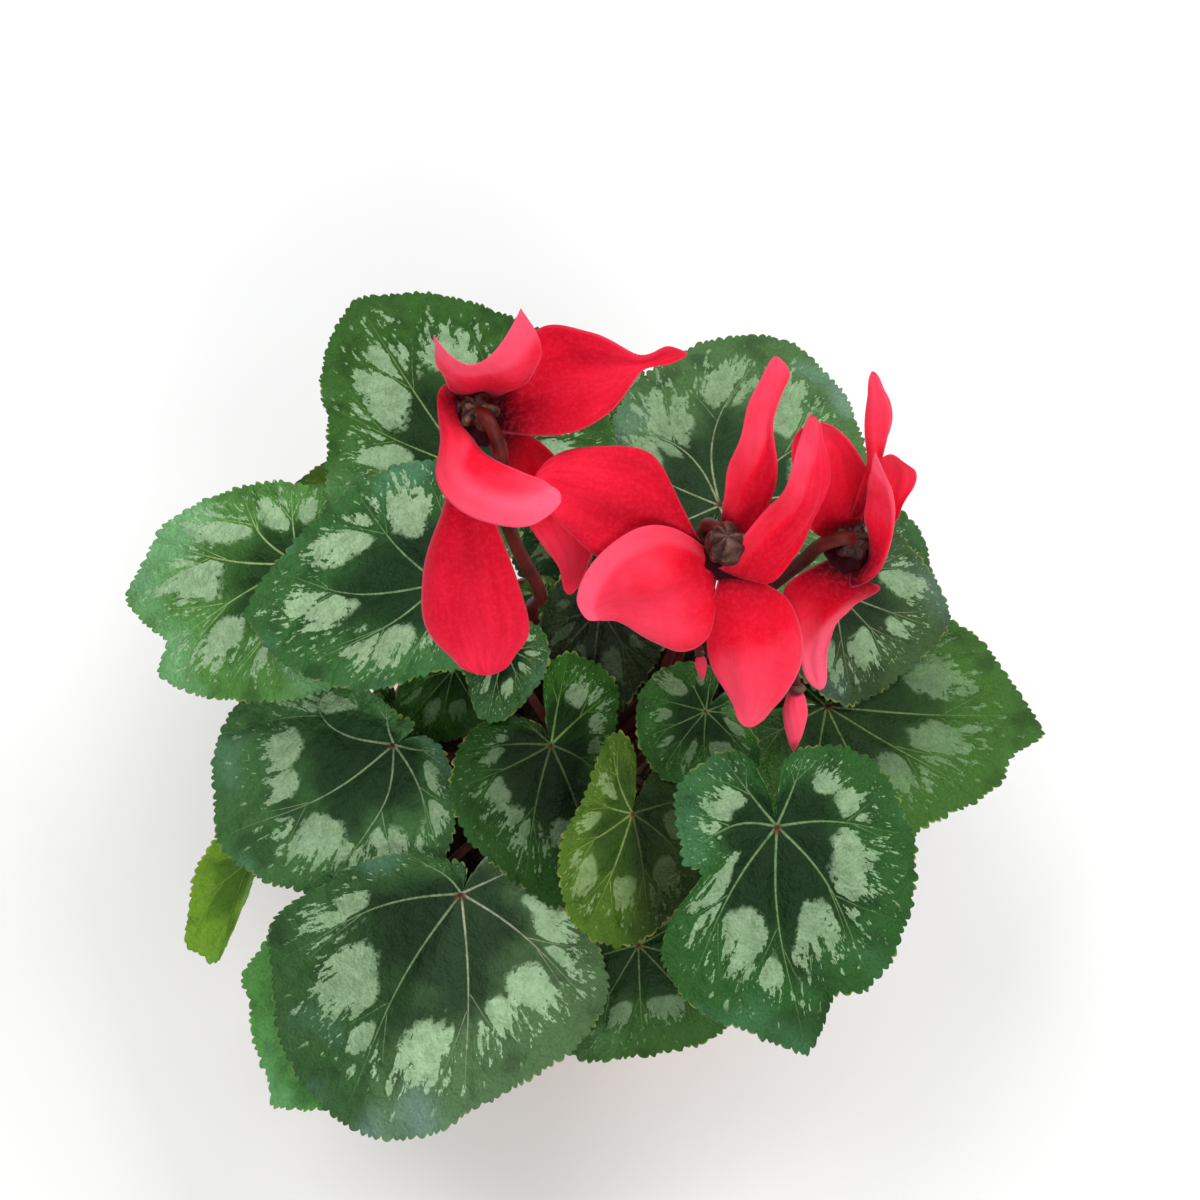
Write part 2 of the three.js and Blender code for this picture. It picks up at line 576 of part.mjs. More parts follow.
function budStem(bud) {
  const { turn, place } = budFrame(bud);
  const cap = turned([
    [0, 0],
    [0.75 * bud.radius, -0.3],
    [0.8 * bud.radius, 0.5],
    [0.4 * bud.radius, 1.6],
    [0, 2],
  ], 8).applyQuaternion(turn).translate(...place.toArray());
  const start = foot(bud.root);
  const neck = raised(start, SOCKET.depth + SOCKET.neck);
  const end = new THREE.Vector3(0, 0, 1).applyQuaternion(turn).add(place);
  const route = rod([start, neck, ...bud.stem.map(vector), end], STALK_RADIUS);
  return geometryOf(solidOf(cap).add(solidOf(route)));
}

// ---- the plant ----
const plant = new THREE.Group();

function add(name, geometry, material) {
  const mesh = new THREE.Mesh(geometry, material);
  mesh.name = name;
  plant.add(mesh);
}

const stalks = [
  ...Object.values(LEAVES).map(({ root }) => ({ root, radius: STALK_RADIUS })),
  ...Object.values(BLOOMS).map(({ root }) => ({ root, radius: FLOWER_STEM_RADIUS })),
  ...Object.values(BUDS).map(({ root }) => ({ root, radius: STALK_RADIUS })),
];

add('pot', pot(), clay);
add('soil', soil(), earth);
add('tuber', tuber(stalks), corm);
for (const [place, leaf] of Object.entries(LEAVES)) {
  add(`leaf_${place}`, leafGeometry(leaf), YOUNG.includes(place) ? youngGreen : leafGreen);
}
for (const [place, bloom] of Object.entries(BLOOMS)) {
  add(`petals_${place}`, bloomPetals(bloom), petalRed);
  add(`flower_stem_${place}`, bloomStem(bloom), stemBrown);
}
for (const [size, bud] of Object.entries(BUDS)) {
  add(`bud_${size}`, budPetals(bud), petalRed);
  add(`bud_stem_${size}`, budStem(bud), stemBrown);
}

export default plant;
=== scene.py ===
"""Looks of the potted cyclamen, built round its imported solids. Metres, +Z up, in the part's own frame.

Shapes are worked out in millimetres, from the tables and formulas of the solids, with a finer mesh. The slit
of the blades, the outlines of lower_left and curled_left and one petal of the middle bloom differ from them.
"""

import math

import bpy
import numpy as np
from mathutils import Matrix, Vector


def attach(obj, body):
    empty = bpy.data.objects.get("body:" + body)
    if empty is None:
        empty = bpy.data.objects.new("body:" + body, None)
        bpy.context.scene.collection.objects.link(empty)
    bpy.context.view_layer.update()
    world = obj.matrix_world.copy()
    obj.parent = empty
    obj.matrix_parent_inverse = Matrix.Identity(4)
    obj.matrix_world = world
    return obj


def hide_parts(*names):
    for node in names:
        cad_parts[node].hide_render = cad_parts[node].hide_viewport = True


TURN = 2 * math.pi
# In metres: a millimetre, how near two points merge, and the side of the floor and of a lamp.
MM = 0.001
MERGE = 2e-6
FLOOR_SIZE = 6
LAMP_SIZE = 1.3
# Each lamp: its place and target in metres, its power and its tint.
LAMPS = {
    "key": ((-0.8, 0.6, 2.1), (0, 0.03, 0.16), 22, (1, 0.99, 0.97)),
    "window": ((1.2, 0.7, 1.9), (0, 0, 0.16), 24, (0.97, 0.99, 1)),
    "fill": ((0.6, -1.7, 1.6), (0, 0, 0.16), 25, (1, 0.99, 0.98)),
}

# ---- sizes in millimetres, angles in degrees ----
# The camera looks along +Y and down at the plant.
CAMERA = {"target": (3, 31, 165), "elevation": 67, "distance": 620, "lens": 64, "sensor": 36}
FACETS = {"pot": 128, "drill": 32, "soil": 160, "crumb": 8, "tuber": 140, "stem": 18, "calyx": 90}
EDGE = {"round": 0.6, "steps": 3, "sharp": 25, "smooth": 30}
POT = {"height": 115, "base": 47, "collar": 59, "rim": 65, "drop": 24, "wall": 5, "floor": 7}
DRAIN = {"count": 5, "radius": 5, "ring": 27}
SOIL = {"top": 105, "gap": 0.45, "bed": 0.3, "crumbs": 260}
TUBER = {"radius": 27, "height": 10, "depth": 12, "centre": 104, "flatness": 2.4}
SOCKET = {"depth": 5, "seat": 0.3, "neck": 3}
STALK_RADIUS = 1.3
FLOWER_STEM_RADIUS = 1.9
BLADE = {"thick": 0.8, "slit": 2.5, "thinned": 0.45, "from": 0.8}
# A leaf whose longest reach is below SMALL has fewer rings and side veins, and below SMALLEST no side veins.
SMALL = 28
SMALLEST = 16
REACHES = {"first": -160, "step": 40}
LOBE = {"from": 150, "span": 23, "least": 0.3}
POINT_SPREAD = 20
CREASE = 3
STALK_END = {"along": 1.6, "sunk": 0.4, "below": 7, "bow": 0.12}
RINGS = np.concatenate([np.linspace(0, 0.9, 25), (0.925, 0.948, 0.966, 0.98, 0.991, 1)])
SMALL_RINGS = np.concatenate([np.linspace(0, 0.88, 14), (0.92, 0.95, 0.975, 0.99, 1)])
TOOTH = {"pitch": 2.6, "height": 1.75, "samples": 5, "from": 0.965}
RIB = {"width": 1.45, "height": 0.16, "under": 0.45, "sunk": 0.1}
QUILT = {"height": 1.3, "width": 2.7}
PUCKER = {"height": 0.32, "size": 7}
WAVE = {"height": 1.1, "from": 0.5}
UNEVEN = {"height": 0.004, "waves": (8, 11, 17, 26)}
# Side veins: where one leaves its vein and ends, as shares of the reach, and how many degrees it swings.
FORK = {"at": (0.42, 0.58), "swing": (11, 16), "end": (0.86, 0.94), "last": 168}
TWIG = {"at": (0.68, 0.76), "swing": (5, 8), "end": 0.92}
SPUR = {"at": (0.26, 0.36), "swing": 12, "long": (0.1, 0.16)}
PETAL = {"thick": 0.7, "rows": 7, "tip_width": 0.16}
PETAL_GRID = {"rows": 56, "columns": 24}
THROAT = {"radius": 6, "mouth": 6.8, "height": 3.4, "wall": 1.4}
CALYX = {"radius": 4.4, "gap": 0.4, "joint": 1.6, "sepals": 5}

# Each leaf: where the stalk meets the blade, its heading and dip, the reach of its
# margin in nine directions, its arch, and the place of its stalk on the tuber. A swell
# or, below zero, a bite in the margin has its direction, height and half width.
LEAVES = {
    "back_left": dict(at=(-36, 70, 172), heading=119, dip=10, arch=5, point=5,
        reach=(34, 42, 48, 60, 76, 46, 42, 43, 34), root=(118, 19)),
    "back_right": dict(at=(38, 58, 172), heading=74, dip=13, arch=5,
        reach=(31, 38, 44, 54, 73, 54, 37, 38, 31), root=(62, 19)),
    "far_left": dict(at=(-86, 45, 159), heading=-150, dip=19, arch=6, point=4,
        reach=(24, 25, 34, 53, 53, 42, 38, 34, 25), swells=((-28, 6, 7), (-8, -7, 6)), root=(152, 21),
        via=(-58, 32, 126)),
    "mid_left": dict(at=(-42, 27, 186), heading=180, dip=16, arch=6, point=6,
        reach=(26, 32, 42, 47, 57, 41, 27, 28, 27), root=(146, 13)),
    "lower_left": dict(at=(-58, -4, 138), heading=-158, dip=18, arch=6, point=3,
        reach=(9, 9, 22, 57, 61, 49, 42, 24, 13), swells=((54, -4, 9),), root=(184, 19)),
    "front_left": dict(at=(-37, -49, 137), heading=-117, dip=20, arch=8,
        reach=(9, 12, 31, 63, 76, 57, 51, 26, 24), swells=((-56, 7, 8),), root=(232, 19)),
    "front_right": dict(at=(50, -45, 190), heading=-81, dip=26, arch=5, point=9,
        reach=(24, 28, 27, 51, 56, 46, 36, 30, 21), swells=((-65, -11, 9), (11, -6.5, 6)), root=(318, 19)),
    "centre": dict(at=(-11, -11, 158), heading=-72, dip=16, arch=4,
        reach=(9, 22, 32, 38, 46, 20, 18, 26, 27), root=(225, 9)),
    "folded_centre": dict(at=(12, -34, 166), heading=-104, dip=17, arch=2, fold=0.35,
        reach=(24, 15, 15, 25, 37, 29, 25, 21, 17), root=(295, 14), via=(15, -27, 142)),
    "far_right": dict(at=(68, 0, 160), heading=1, dip=17, arch=6, point=8,
        reach=(31, 38, 43, 46, 65, 54, 28, 24, 24), swells=((-9, -4, 6),), root=(2, 21), via=(47, 5, 134)),
    "mid_right": dict(at=(71, 33, 167), heading=-6, dip=17, arch=4, point=3,
        reach=(15, 25, 33, 31, 36, 33, 25, 19, 16), root=(24, 19)),
    "small_right": dict(at=(32, -11, 186), heading=-127, dip=24, arch=4, point=1,
        reach=(12, 15, 19, 21, 22, 18, 20, 8, 12), root=(336, 13)),
    "small_back": dict(at=(-9, 80, 165), heading=47, dip=14, arch=4,
        reach=(16, 18, 14, 15, 44, 38, 23, 20, 16), root=(92, 19)),
    "under_front_left": dict(at=(-63, -71, 117), heading=-135, dip=21, arch=5, point=5,
        reach=(18, 24, 36, 41, 44, 33, 26, 22, 18), swells=((-50, 4, 6),), root=(214, 22),
        via=(-52, -50, 128)),
    "curled_left": dict(at=(-105, -27, 97), heading=-114, dip=17, roll=35, arch=3, fold=0.5,
        reach=(12, 13, 14, 22, 34, 12, 10, 11, 12), swells=((13, -4, 9), (-18, 4, 6)), root=(198, 20),
        via=(-66, -14, 124)),
    "small_left": dict(at=(-70, 70, 150), heading=177, dip=15, arch=4,
        reach=(12, 14, 17, 22, 27, 21, 17, 14, 12), root=(135, 21)),
    "front_low": dict(at=(14, -63, 133), heading=-84, dip=23, arch=6, point=1,
        reach=(16, 20, 23, 38, 32, 36, 24, 20, 16), root=(283, 21)),
    "dark_centre": dict(at=(3, 29, 163), heading=-96, dip=12, arch=4,
        reach=(15, 15, 17, 24, 32, 24, 20, 18, 14), root=(75, 12)),
    "small_mid_left": dict(at=(-41, 20, 138), heading=-135, dip=13, arch=4,
        reach=(13, 15, 19, 16, 25, 21, 18, 15, 13), root=(166, 18)),
    "small_centre": dict(at=(-24, 13, 172), heading=-104, dip=17, arch=3,
        reach=(10, 12, 14, 14, 21, 15, 13, 12, 10), root=(170, 9)),
    "under_right": dict(at=(78, 50, 150), heading=8, dip=18, arch=4,
        reach=(14, 16, 19, 24, 29, 31, 19, 16, 14), root=(38, 22)),
    "brown_right": dict(at=(52, 0, 154), heading=-108, dip=18, arch=4,
        reach=(11, 13, 15, 19, 26, 19, 12, 11, 11), root=(344, 20), via=(38, -9, 134)),
    "behind_blooms": dict(at=(3, 64, 157), heading=-124, dip=13, arch=4,
        reach=(9, 9, 16, 30, 29, 22, 18, 15, 13), root=(80, 16)),
    "young_centre": dict(at=(-13, 37, 156), heading=-170, dip=22, arch=1,
        reach=(4, 5, 6, 9, 13, 8, 6, 5, 4), root=(110, 12)),
    "young_left": dict(at=(-60, 14, 124), heading=-110, dip=18, arch=1,
        reach=(5, 7, 8, 10, 12, 10, 8, 7, 5), root=(174, 22), via=(-50, 8, 117)),
}
YOUNG = ("curled_left", "folded_centre", "brown_right", "young_centre", "young_left", "small_left")

# Main veins of the leaves seen best: the direction near the stalk and at the margin.
VEINS = {
    "front_right": ((-148, -150), (-108, -84), (-46, -36), (-10, 0), (38, 24), (90, 78), (148, 150)),
    "lower_left": ((-90, -100), (-34, -62), (14, 0), (66, 40), (104, 90), (140, 145)),
    "front_left": ((-120, -100), (-60, -45), (-12, -4), (32, 26), (86, 76), (140, 140)),
    "back_left": ((-150, -150), (-95, -85), (-40, -38), (2, 0), (34, 30), (78, 66), (120, 118), (158, 156)),
    "mid_left": ((-140, -145), (-90, -92), (-42, -50), (4, -12), (40, 24), (84, 66), (140, 120)),
    "far_left": ((-150, -150), (-108, -112), (-64, -80), (-36, -44), (-10, -6), (40, 24), (90, 70),
        (140, 130)),
    "back_right": ((-150, -150), (-104, -100), (-62, -56), (-28, -30), (24, 2), (34, 56), (80, 76),
        (136, 132)),
    "far_right": ((-150, -150), (-104, -100), (-66, -58), (-28, -24), (0, 4), (44, 34), (88, 84),
        (140, 140)),
    "folded_centre": ((-140, -150), (-88, -96), (-40, -44), (-4, -8), (26, 22), (70, 60), (120, 118)),
    "centre": ((-150, -150), (-110, -104), (-78, -82), (-33, -28), (8, 2), (52, 44), (118, 114),
        (154, 152)),
}
ANY_VEINS = ((-150, -152), (-112, -114), (-74, -72), (-36, -36), (0, 0), (36, 36), (74, 72), (112, 114),
             (150, 152))

# Silver blotches between those veins: direction, inner and outer share of the reach, half width in degrees.
BLOTCHES = {
    "front_right": ((-132, 0.4, 0.64, 14), (-112, 0.44, 0.7, 13), (-94, 0.54, 0.72, 7), (-52, 0.4, 0.7, 11),
        (-25, 0.42, 0.68, 11), (-9, 0.6, 0.74, 4), (14, 0.42, 0.66, 10), (56, 0.38, 0.66, 19),
        (99, 0.5, 0.72, 12), (122, 0.48, 0.68, 9)),
    "lower_left": ((-56, 0.46, 0.7, 9), (-24, 0.48, 0.66, 8), (-8, 0.5, 0.64, 6), (24, 0.52, 0.78, 12),
        (44, 0.64, 0.82, 6), (64, 0.54, 0.8, 10), (98, 0.6, 0.84, 12), (118, 0.52, 0.72, 10)),
    "front_left": ((-54, 0.5, 0.76, 8), (-27, 0.44, 0.72, 10), (-9, 0.6, 0.76, 4), (13, 0.5, 0.76, 8),
        (43, 0.54, 0.74, 7), (62, 0.48, 0.74, 10), (92, 0.52, 0.8, 10), (106, 0.55, 0.82, 7)),
    "back_left": ((12, 0.4, 0.74, 13), (50, 0.38, 0.72, 14), (92, 0.36, 0.68, 20), (-22, 0.48, 0.74, 11),
        (-58, 0.45, 0.72, 12), (-112, 0.45, 0.7, 14), (136, 0.45, 0.7, 12)),
    "mid_left": ((-66, 0.38, 0.76, 12), (-30, 0.54, 0.82, 11), (4, 0.42, 0.76, 8), (45, 0.4, 0.74, 16),
        (76, 0.5, 0.7, 8), (-112, 0.45, 0.7, 14), (112, 0.45, 0.7, 14)),
    "far_left": ((-96, 0.38, 0.78, 15), (-60, 0.44, 0.8, 10), (-30, 0.42, 0.74, 13), (8, 0.44, 0.76, 8),
        (42, 0.4, 0.7, 13), (76, 0.36, 0.6, 14), (-130, 0.5, 0.8, 10), (115, 0.45, 0.7, 14)),
    "back_right": ((-14, 0.5, 0.76, 10), (12, 0.54, 0.78, 8), (42, 0.4, 0.8, 11), (66, 0.5, 0.78, 8),
        (-44, 0.45, 0.74, 11), (-80, 0.45, 0.72, 13), (104, 0.45, 0.72, 14)),
    "far_right": ((-40, 0.44, 0.74, 9), (-12, 0.42, 0.74, 10), (21, 0.44, 0.72, 10), (46, 0.4, 0.82, 10),
        (72, 0.38, 0.82, 14), (-82, 0.45, 0.75, 13), (112, 0.45, 0.7, 14)),
    "mid_right": ((-52, 0.42, 0.72, 20), (-90, 0.5, 0.84, 13), (-14, 0.5, 0.74, 9), (24, 0.44, 0.8, 13),
        (60, 0.45, 0.75, 13)),
    "centre": ((-104, 0.48, 0.72, 12), (-68, 0.48, 0.72, 12), (-36, 0.5, 0.74, 10), (-8, 0.45, 0.66, 8),
        (70, 0.62, 0.84, 12), (104, 0.56, 0.8, 14), (132, 0.48, 0.76, 14)),
}

# Tint of a leaf, partly its own green and partly painted light and shade for how it is lit, and how strong
# its silver is.
LOOKS = {
    "far_left": ((2.2, 2, 1.6), 0.9), "back_left": ((1, 1.05, 0.6), 0.85), "mid_left": ((1, 1.15, 1.05), 1),
    "front_left": ((0.85, 0.82, 0.85), 0.72), "front_right": ((0.55, 0.75, 0.5), 0.7),
    "far_right": ((1.2, 1.12, 0.65), 0.32), "mid_right": ((1.05, 0.72, 0.85), 0.65),
    "back_right": ((1.9, 1.4, 1.7), 0.65), "centre": ((0.3, 0.45, 0.12), 0.32),
    "dark_centre": ((0.3, 0.2, 0.15), 0.1), "front_low": ((0.85, 0.85, 0.5), 0.35),
    "small_right": ((0.9, 1.1, 0.7), 0.45), "small_mid_left": ((0.8, 0.9, 0.4), 0.35),
    "small_left": ((0.6, 0.7, 0.2), 0.2), "small_back": ((1.5, 1.5, 1.2), 0.55),
    "curled_left": ((1.7, 1.8, 1), 0), "under_front_left": ((2.1, 2.2, 1.9), 0.1),
    "folded_centre": ((0.78, 0.86, 0.5), 0.6),
    "brown_right": ((0.9, 0.7, 0.6), 0.35), "lower_left": ((1.35, 1.25, 1.4), 0.8)}
OTHER_LOOK = ((1, 1, 0.9), 0.9)
# A part of a leaf painted lighter than the rest, as painted sheen, or darker, as painted shade: between two
# directions, times this.
PAINTED_LIGHT_PARTS = {
    "centre": (75, 95, (2.2, 2.2, 2.4)), "folded_centre": (-4, 30, (0.2, 0.22, 0.2)),
    "front_left": (-8, 10, (2.5, 1.7, 2.5)), "mid_right": (-40, -90, (0.75, 0.75, 0.75)),
    "lower_left": (-15, -50, (1.6, 1.5, 1.7)), "mid_left": (20, 60, (1.4, 1.35, 1.6))}
NO_PAINTED_LIGHT_PART = (0, 1, (1, 1, 1))

# Each bloom: the eye, its petals (two margins, tip, sag of the blade) and its stem.
BLOOMS = {
    "left": dict(eye=(-28, 45, 250), root=(120, 4), petals=(
        dict(a=((-5, 6, 0.5), (-8, 5.5, 8), (-10.5, 7.5, 18), (-11, 10, 25)), b=((5.5, 6, 1), (14, 5.5, 12),
            (16.5, 8, 25), (12, 12.5, 34)), sag=(0, -9, -7), open=True),
        dict(a=((5.5, 5.5, 2), (15.5, 19.5, 13), (29, 16.5, 16), (41, 10.5, 15), (48, 13, 15)),
            b=((6.5, -3.5, 0), (21, -6, 4), (33.5, -2, 8), (41.5, 7.5, 13), (48, 9.5, 12)),
            tip=(53, 11, 15), sag=(0, 0, -3)),
        dict(a=((-5.5, 6.5, 2), (-8.5, 8.5, 4), (-10.5, 4.5, 5), (-8, -7, 3), (-9, -17, 1),
            (-5.5, -22.5, 0), (1.5, -27.5, 0), (12.5, -29, 0)), b=((-5.5, 5, 1), (-4.5, -1.5, 1.5),
            (-0.5, -7, 1.5), (5.5, -13.5, 3), (12.5, -17.5, 5), (17.5, -20.5, 6)), tip=(21, -24, 4),
            sag=(-1, -1, 2), rows=11),
        dict(a=((6, -2, -3), (13, -0.5, -8), (19.5, -4.5, -14), (27, -14, -21), (28.5, -26.5, -28)),
            b=((3, -6.5, -3), (4.5, -11, -12), (12.5, -20, -21), (19.5, -27.5, -29)), tip=(23, -34, -34),
            sag=(2, 0, 2)),
        dict(a=((-6, -4, -3), (-10, -19, -14), (-16, -31, -28), (-15, -42, -38), (-6, -50, -45)),
            b=((0, -7, -3), (4, -22, -14), (10, -34, -28), (12, -44, -38), (6, -50, -44)),
            tip=(1, -52, -47), sag=(0, -3, 3))),
        stem=((-17, 29, 160), (-14, 27, 178), (-20, 28, 212), (-23.2, 29.5, 238), (-22.2, 35, 252),
        (-25, 40.5, 257.5))),
    "middle": dict(eye=(35, 13, 238), root=(40, 7), petals=(
        dict(a=((-6.5, 3.5, 1), (-10.5, 10.5, 3.5), (-19, 23.5, 9), (-32, 25, 11), (-43.5, 24, 7)),
            b=((-5.5, 2.5, -1.5), (-18, 3.5, -4), (-31, 1, -5), (-41, 7, 0), (-46, 12, 3)),
            tip=(-49.5, 17.5, 5), sag=(0, 0, 3)),
        dict(a=((-5, 0.5, 1.5), (-13, 5.5, 3), (-22, 5.5, 2.5), (-31.5, 0.5, -2), (-37.5, -7.5, -8)),
            b=((-2.5, -8, -2), (-2.5, -13.5, -7), (-5, -19.5, -11), (-11.5, -21.5, -14),
            (-25.5, -13.5, -15)), tip=(-35, -12, -13), sag=(0, 0, 3)),
        dict(a=((-2.5, -9, -2), (-4.5, -14, -9), (-4, -20.5, -19), (1, -28.5, -27)), b=((5, -5, -1),
            (16.5, -9.5, -8), (21, -18.5, -17), (16.5, -29.5, -26)), tip=(7, -35.5, -32), sag=(0, -2, 3)),
        dict(a=((-3.5, -4.5, 0.5), (-1, -5, 3), (3, -1, 9), (8.5, 3, 15), (13.5, 6, 21), (16, 11, 27),
            (18.5, 16.5, 33)), b=((5.5, -6.5, -0.5), (11.5, -8.5, 1), (17.5, -2.5, 6), (21.5, 4, 12),
            (24.5, 11, 20), (24, 16.5, 26)), tip=(20.5, 19.5, 37), sag=(2, -2, -2)),
        dict(a=((-1, 7, 2), (0, 12, 14), (4, 19, 24), (7.5, 26, 32), (10.5, 32, 36)), b=((6, 3, 2),
            (11.5, 10, 12), (12.5, 16, 20), (11, 24, 28), (14.5, 33, 34)), tip=(13, 36, 37),
            sag=(0, 0, -2))),
        stem=((24, 15, 152), (27, 19, 178), (28, 24, 215), (29.6, 20.7, 235), (30.8, 18.7, 243),
        (33, 15.5, 246))),
    "right": dict(eye=(68, 17, 232), root=(10, 8), petals=(
        dict(a=((-1, 6, 2), (2, 14, 20), (1, 22, 32)), b=((4, 6, 2), (7, 17, 20), (8, 25, 32)),
            tip=(2, 29, 42), sag=(0, -2, 0)),
        dict(a=((5, 4, 2), (5, 10, 14), (5, 14, 23)), b=((7, 1, 2), (11, 4, 14), (14, 10, 24)),
            tip=(8, 13, 28), sag=(1, 0, -1)),
        dict(a=((5.2, -1.6, 2.5), (2.5, 2.5, 13), (2, 6.5, 24)), b=((-0.5, -10.5, -1), (6.5, -8.5, 4),
            (10, -0.5, 13), (8.5, 4.5, 25)), tip=(2.5, 9, 35), sag=(2, -2, 0)),
        dict(a=((-3.5, 1.5, 0), (-9.5, 3, 3), (-14.5, 5.5, 11), (-17, 11, 22), (-16, 18.5, 28)),
            b=((2, 4, 2), (4, 10.5, 12), (1.5, 15, 22), (-3, 17.5, 28)), tip=(-9.5, 20, 32),
            sag=(0, 2, -2)),
        dict(a=((-6, -3, 0), (-17, -8, -8), (-13, -15, -18), (-11, -23, -25)), b=((2, -8, -1), (7, -11, 0),
            (-1, -15, -10), (-6, -20, -20)), tip=(-7, -29, -27), sag=(0, -2, -3))),
        stem=((29, 11, 152), (34, 14, 176), (47, 17, 203), (57, 17, 226), (60, 16.5, 235.5),
        (65, 16.5, 239.5))),
}
BUDS = {
    "large": dict(neck=(55, -12, 206), tip=(55, -25, 192), radius=3.2, root=(345, 8),
        stem=((34, 2, 150), (46, 1, 186), (51, -4, 206), (54, -9, 210))),
    "small": dict(neck=(30, 1, 198), tip=(31, -5, 194), radius=1.6, root=(0, 3),
        stem=((20, 8, 148), (22, 9, 172), (25, 8, 190), (28, 5, 199))),
}
# How far the dark of the eye runs up the petals, as a share of their length; the dark is partly the eye's own
# colour and partly painted shade in the funnel of petals.
DARK = {"left": 0.3, "middle": 0.12, "right": 0.34}
# Strips of single petals that turn up and are painted paler, a painted highlight where they face the light:
# the margin they follow, their width, and how far they turn up.
STRIPS = {
    "left": {0: ("end", 7, 0.2), 2: ("a", 8, 0.3)},
    "middle": {1: ("a", 6, 0.25), 3: ("a", 3.5, 0.6), 4: ("a", 5, 0.6)},
    "right": {2: ("b", 4, 0.3), 4: ("b", 6, -0.4)},
}
# Painted highlight and painted shade on each petal: how light its red is painted at its foot and at its tip;
# below zero it is deeper.
PETAL_LIGHT_AND_SHADE = {
    "left": ((-0.3, 0.3), (-0.75, -0.15), (-0.8, 0.65), (-0.1, 0.2), (-0.7, -0.1)),
    "middle": ((-0.9, 0), (-0.1, 0.6), (-0.5, 0.7), (-0.4, -0.1), (-0.5, 0)),
    "right": ((-0.2, 0.4), (0, 0.2), (-0.3, 0.3), (-0.4, 0.1), (-0.3, 0.9)),
}
# Height of each calyx, how light it is, and how deep the notches between its sepals are.
CUPS = {"left": (3.6, 0.9, 0.14), "middle": (7, 0.7, 0.02), "right": (3.2, 0.1, 0.1)}
VECTOR_MARKS = ("plane", "polar", "tone")
LEAF_MARKS = "plane polar share edge blotch outward vein under stalk tone silver".split()
BLOOM_MARKS = "polar share edge throat eye pale".split()


# ---- small helpers ----
def colour(code):
    """A colour from its #RRGGBB code, as the shader wants it."""
    parts = [int(code[i:i + 2], 16) / 255 for i in (1, 3, 5)]
    return (*[p / 12.92 if p <= 0.04045 else ((p + 0.055) / 1.055) ** 2.4 for p in parts], 1)


def eased(value, low, high):
    """0 below low, 1 above high and smooth between them."""
    share = np.clip((value - low) / (high - low), 0, 1)
    return share * share * (3 - 2 * share)


def unit(vectors):
    return vectors / np.maximum(np.linalg.norm(vectors, axis=-1, keepdims=True), 1e-9)


def around(radius, angle, *height):
    """Points at a distance and a direction (radians) from the middle, and at a height if there is one."""
    return np.stack(np.broadcast_arrays(radius * np.cos(angle), radius * np.sin(angle), *height), -1)


def run_along(line):
    """Distance from the start of a line to each of its points."""
    return np.concatenate([[0], np.cumsum(np.linalg.norm(np.diff(line, axis=0), axis=1))])


def smooth_curve(points, shares):
    """Points of a centripetal Catmull-Rom curve, at shares counted by its knots."""
    knots = np.asarray(points, float)
    knots = np.vstack([2 * knots[0] - knots[1], knots, 2 * knots[-1] - knots[-2]])
    place = np.clip(np.asarray(shares, float), 0, 1) * (len(points) - 1)
    first = np.minimum(place.astype(int), len(points) - 2)
    t = (place - first)[:, None]
    p0, p1, p2, p3 = (knots[first + i] for i in range(4))
    d0, d1, d2 = (np.sqrt(np.maximum(np.linalg.norm(far - near, axis=1), 1e-9))[:, None]
                  for near, far in ((p0, p1), (p1, p2), (p2, p3)))
    leave = d1 * ((p1 - p0) / d0 - (p2 - p0) / (d0 + d1) + (p2 - p1) / d1)
    arrive = d1 * ((p2 - p1) / d1 - (p3 - p1) / (d1 + d2) + (p3 - p2) / d2)
    square = 3 * (p2 - p1) - 2 * leave - arrive
    cube = 2 * (p1 - p2) + leave + arrive
    return p1 + leave * t + square * t ** 2 + cube * t ** 3


def along_curve(points, shares):
    """Points of the same curve, at shares of its length."""
    fine = np.linspace(0, 1, 401)
    run = run_along(smooth_curve(points, fine))
    return smooth_curve(points, np.interp(np.asarray(shares) * run[-1], run, fine))


def lumps(points, size, height, seed):
    """Uneven ground: smooth random heights at points, from waves in many directions."""
    rng = np.random.default_rng(seed)
    flat = points.reshape(-1, 3)
    total = np.zeros(len(flat))
    for octave in range(4):
        for _ in range(7):
            wave = rng.normal(size=3) * 2 * math.pi / (size / 1.9 ** octave) / 1.7
            total += np.sin(flat @ wave + rng.uniform(0, 6.28)) / 1.9 ** octave
    return (height * total / 4).reshape(points.shape[:-1])


def lattice(rows, columns, round_again=False):
    """Faces of a lattice of points, rows by columns. round_again joins the last column to the first."""
    across = columns if round_again else columns - 1
    r, c = np.meshgrid(np.arange(rows - 1), np.arange(across), indexing="ij")
    near, far = r * columns + c, r * columns + (c + 1) % columns
    return np.stack([near, near + columns, far + columns, far], -1).reshape(-1, 4)


def select(obj, edit=False):
    """Makes this the only object selected and the active one, and opens it for edits if asked."""
    bpy.ops.object.select_all(action="DESELECT")
    obj.select_set(True)
    bpy.context.view_layer.objects.active = obj
    if edit:
        bpy.ops.object.mode_set(mode="EDIT")
        bpy.ops.mesh.select_all(action="SELECT")


def placed(name, data):
    obj = bpy.data.objects.new(name, data)
    bpy.context.scene.collection.objects.link(obj)
    return obj


def dressed(obj, node, material):
    """The piece stands for its node and takes the slot's finish."""
    obj.data.materials.append(material)
    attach(obj, "root")
    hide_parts(node)


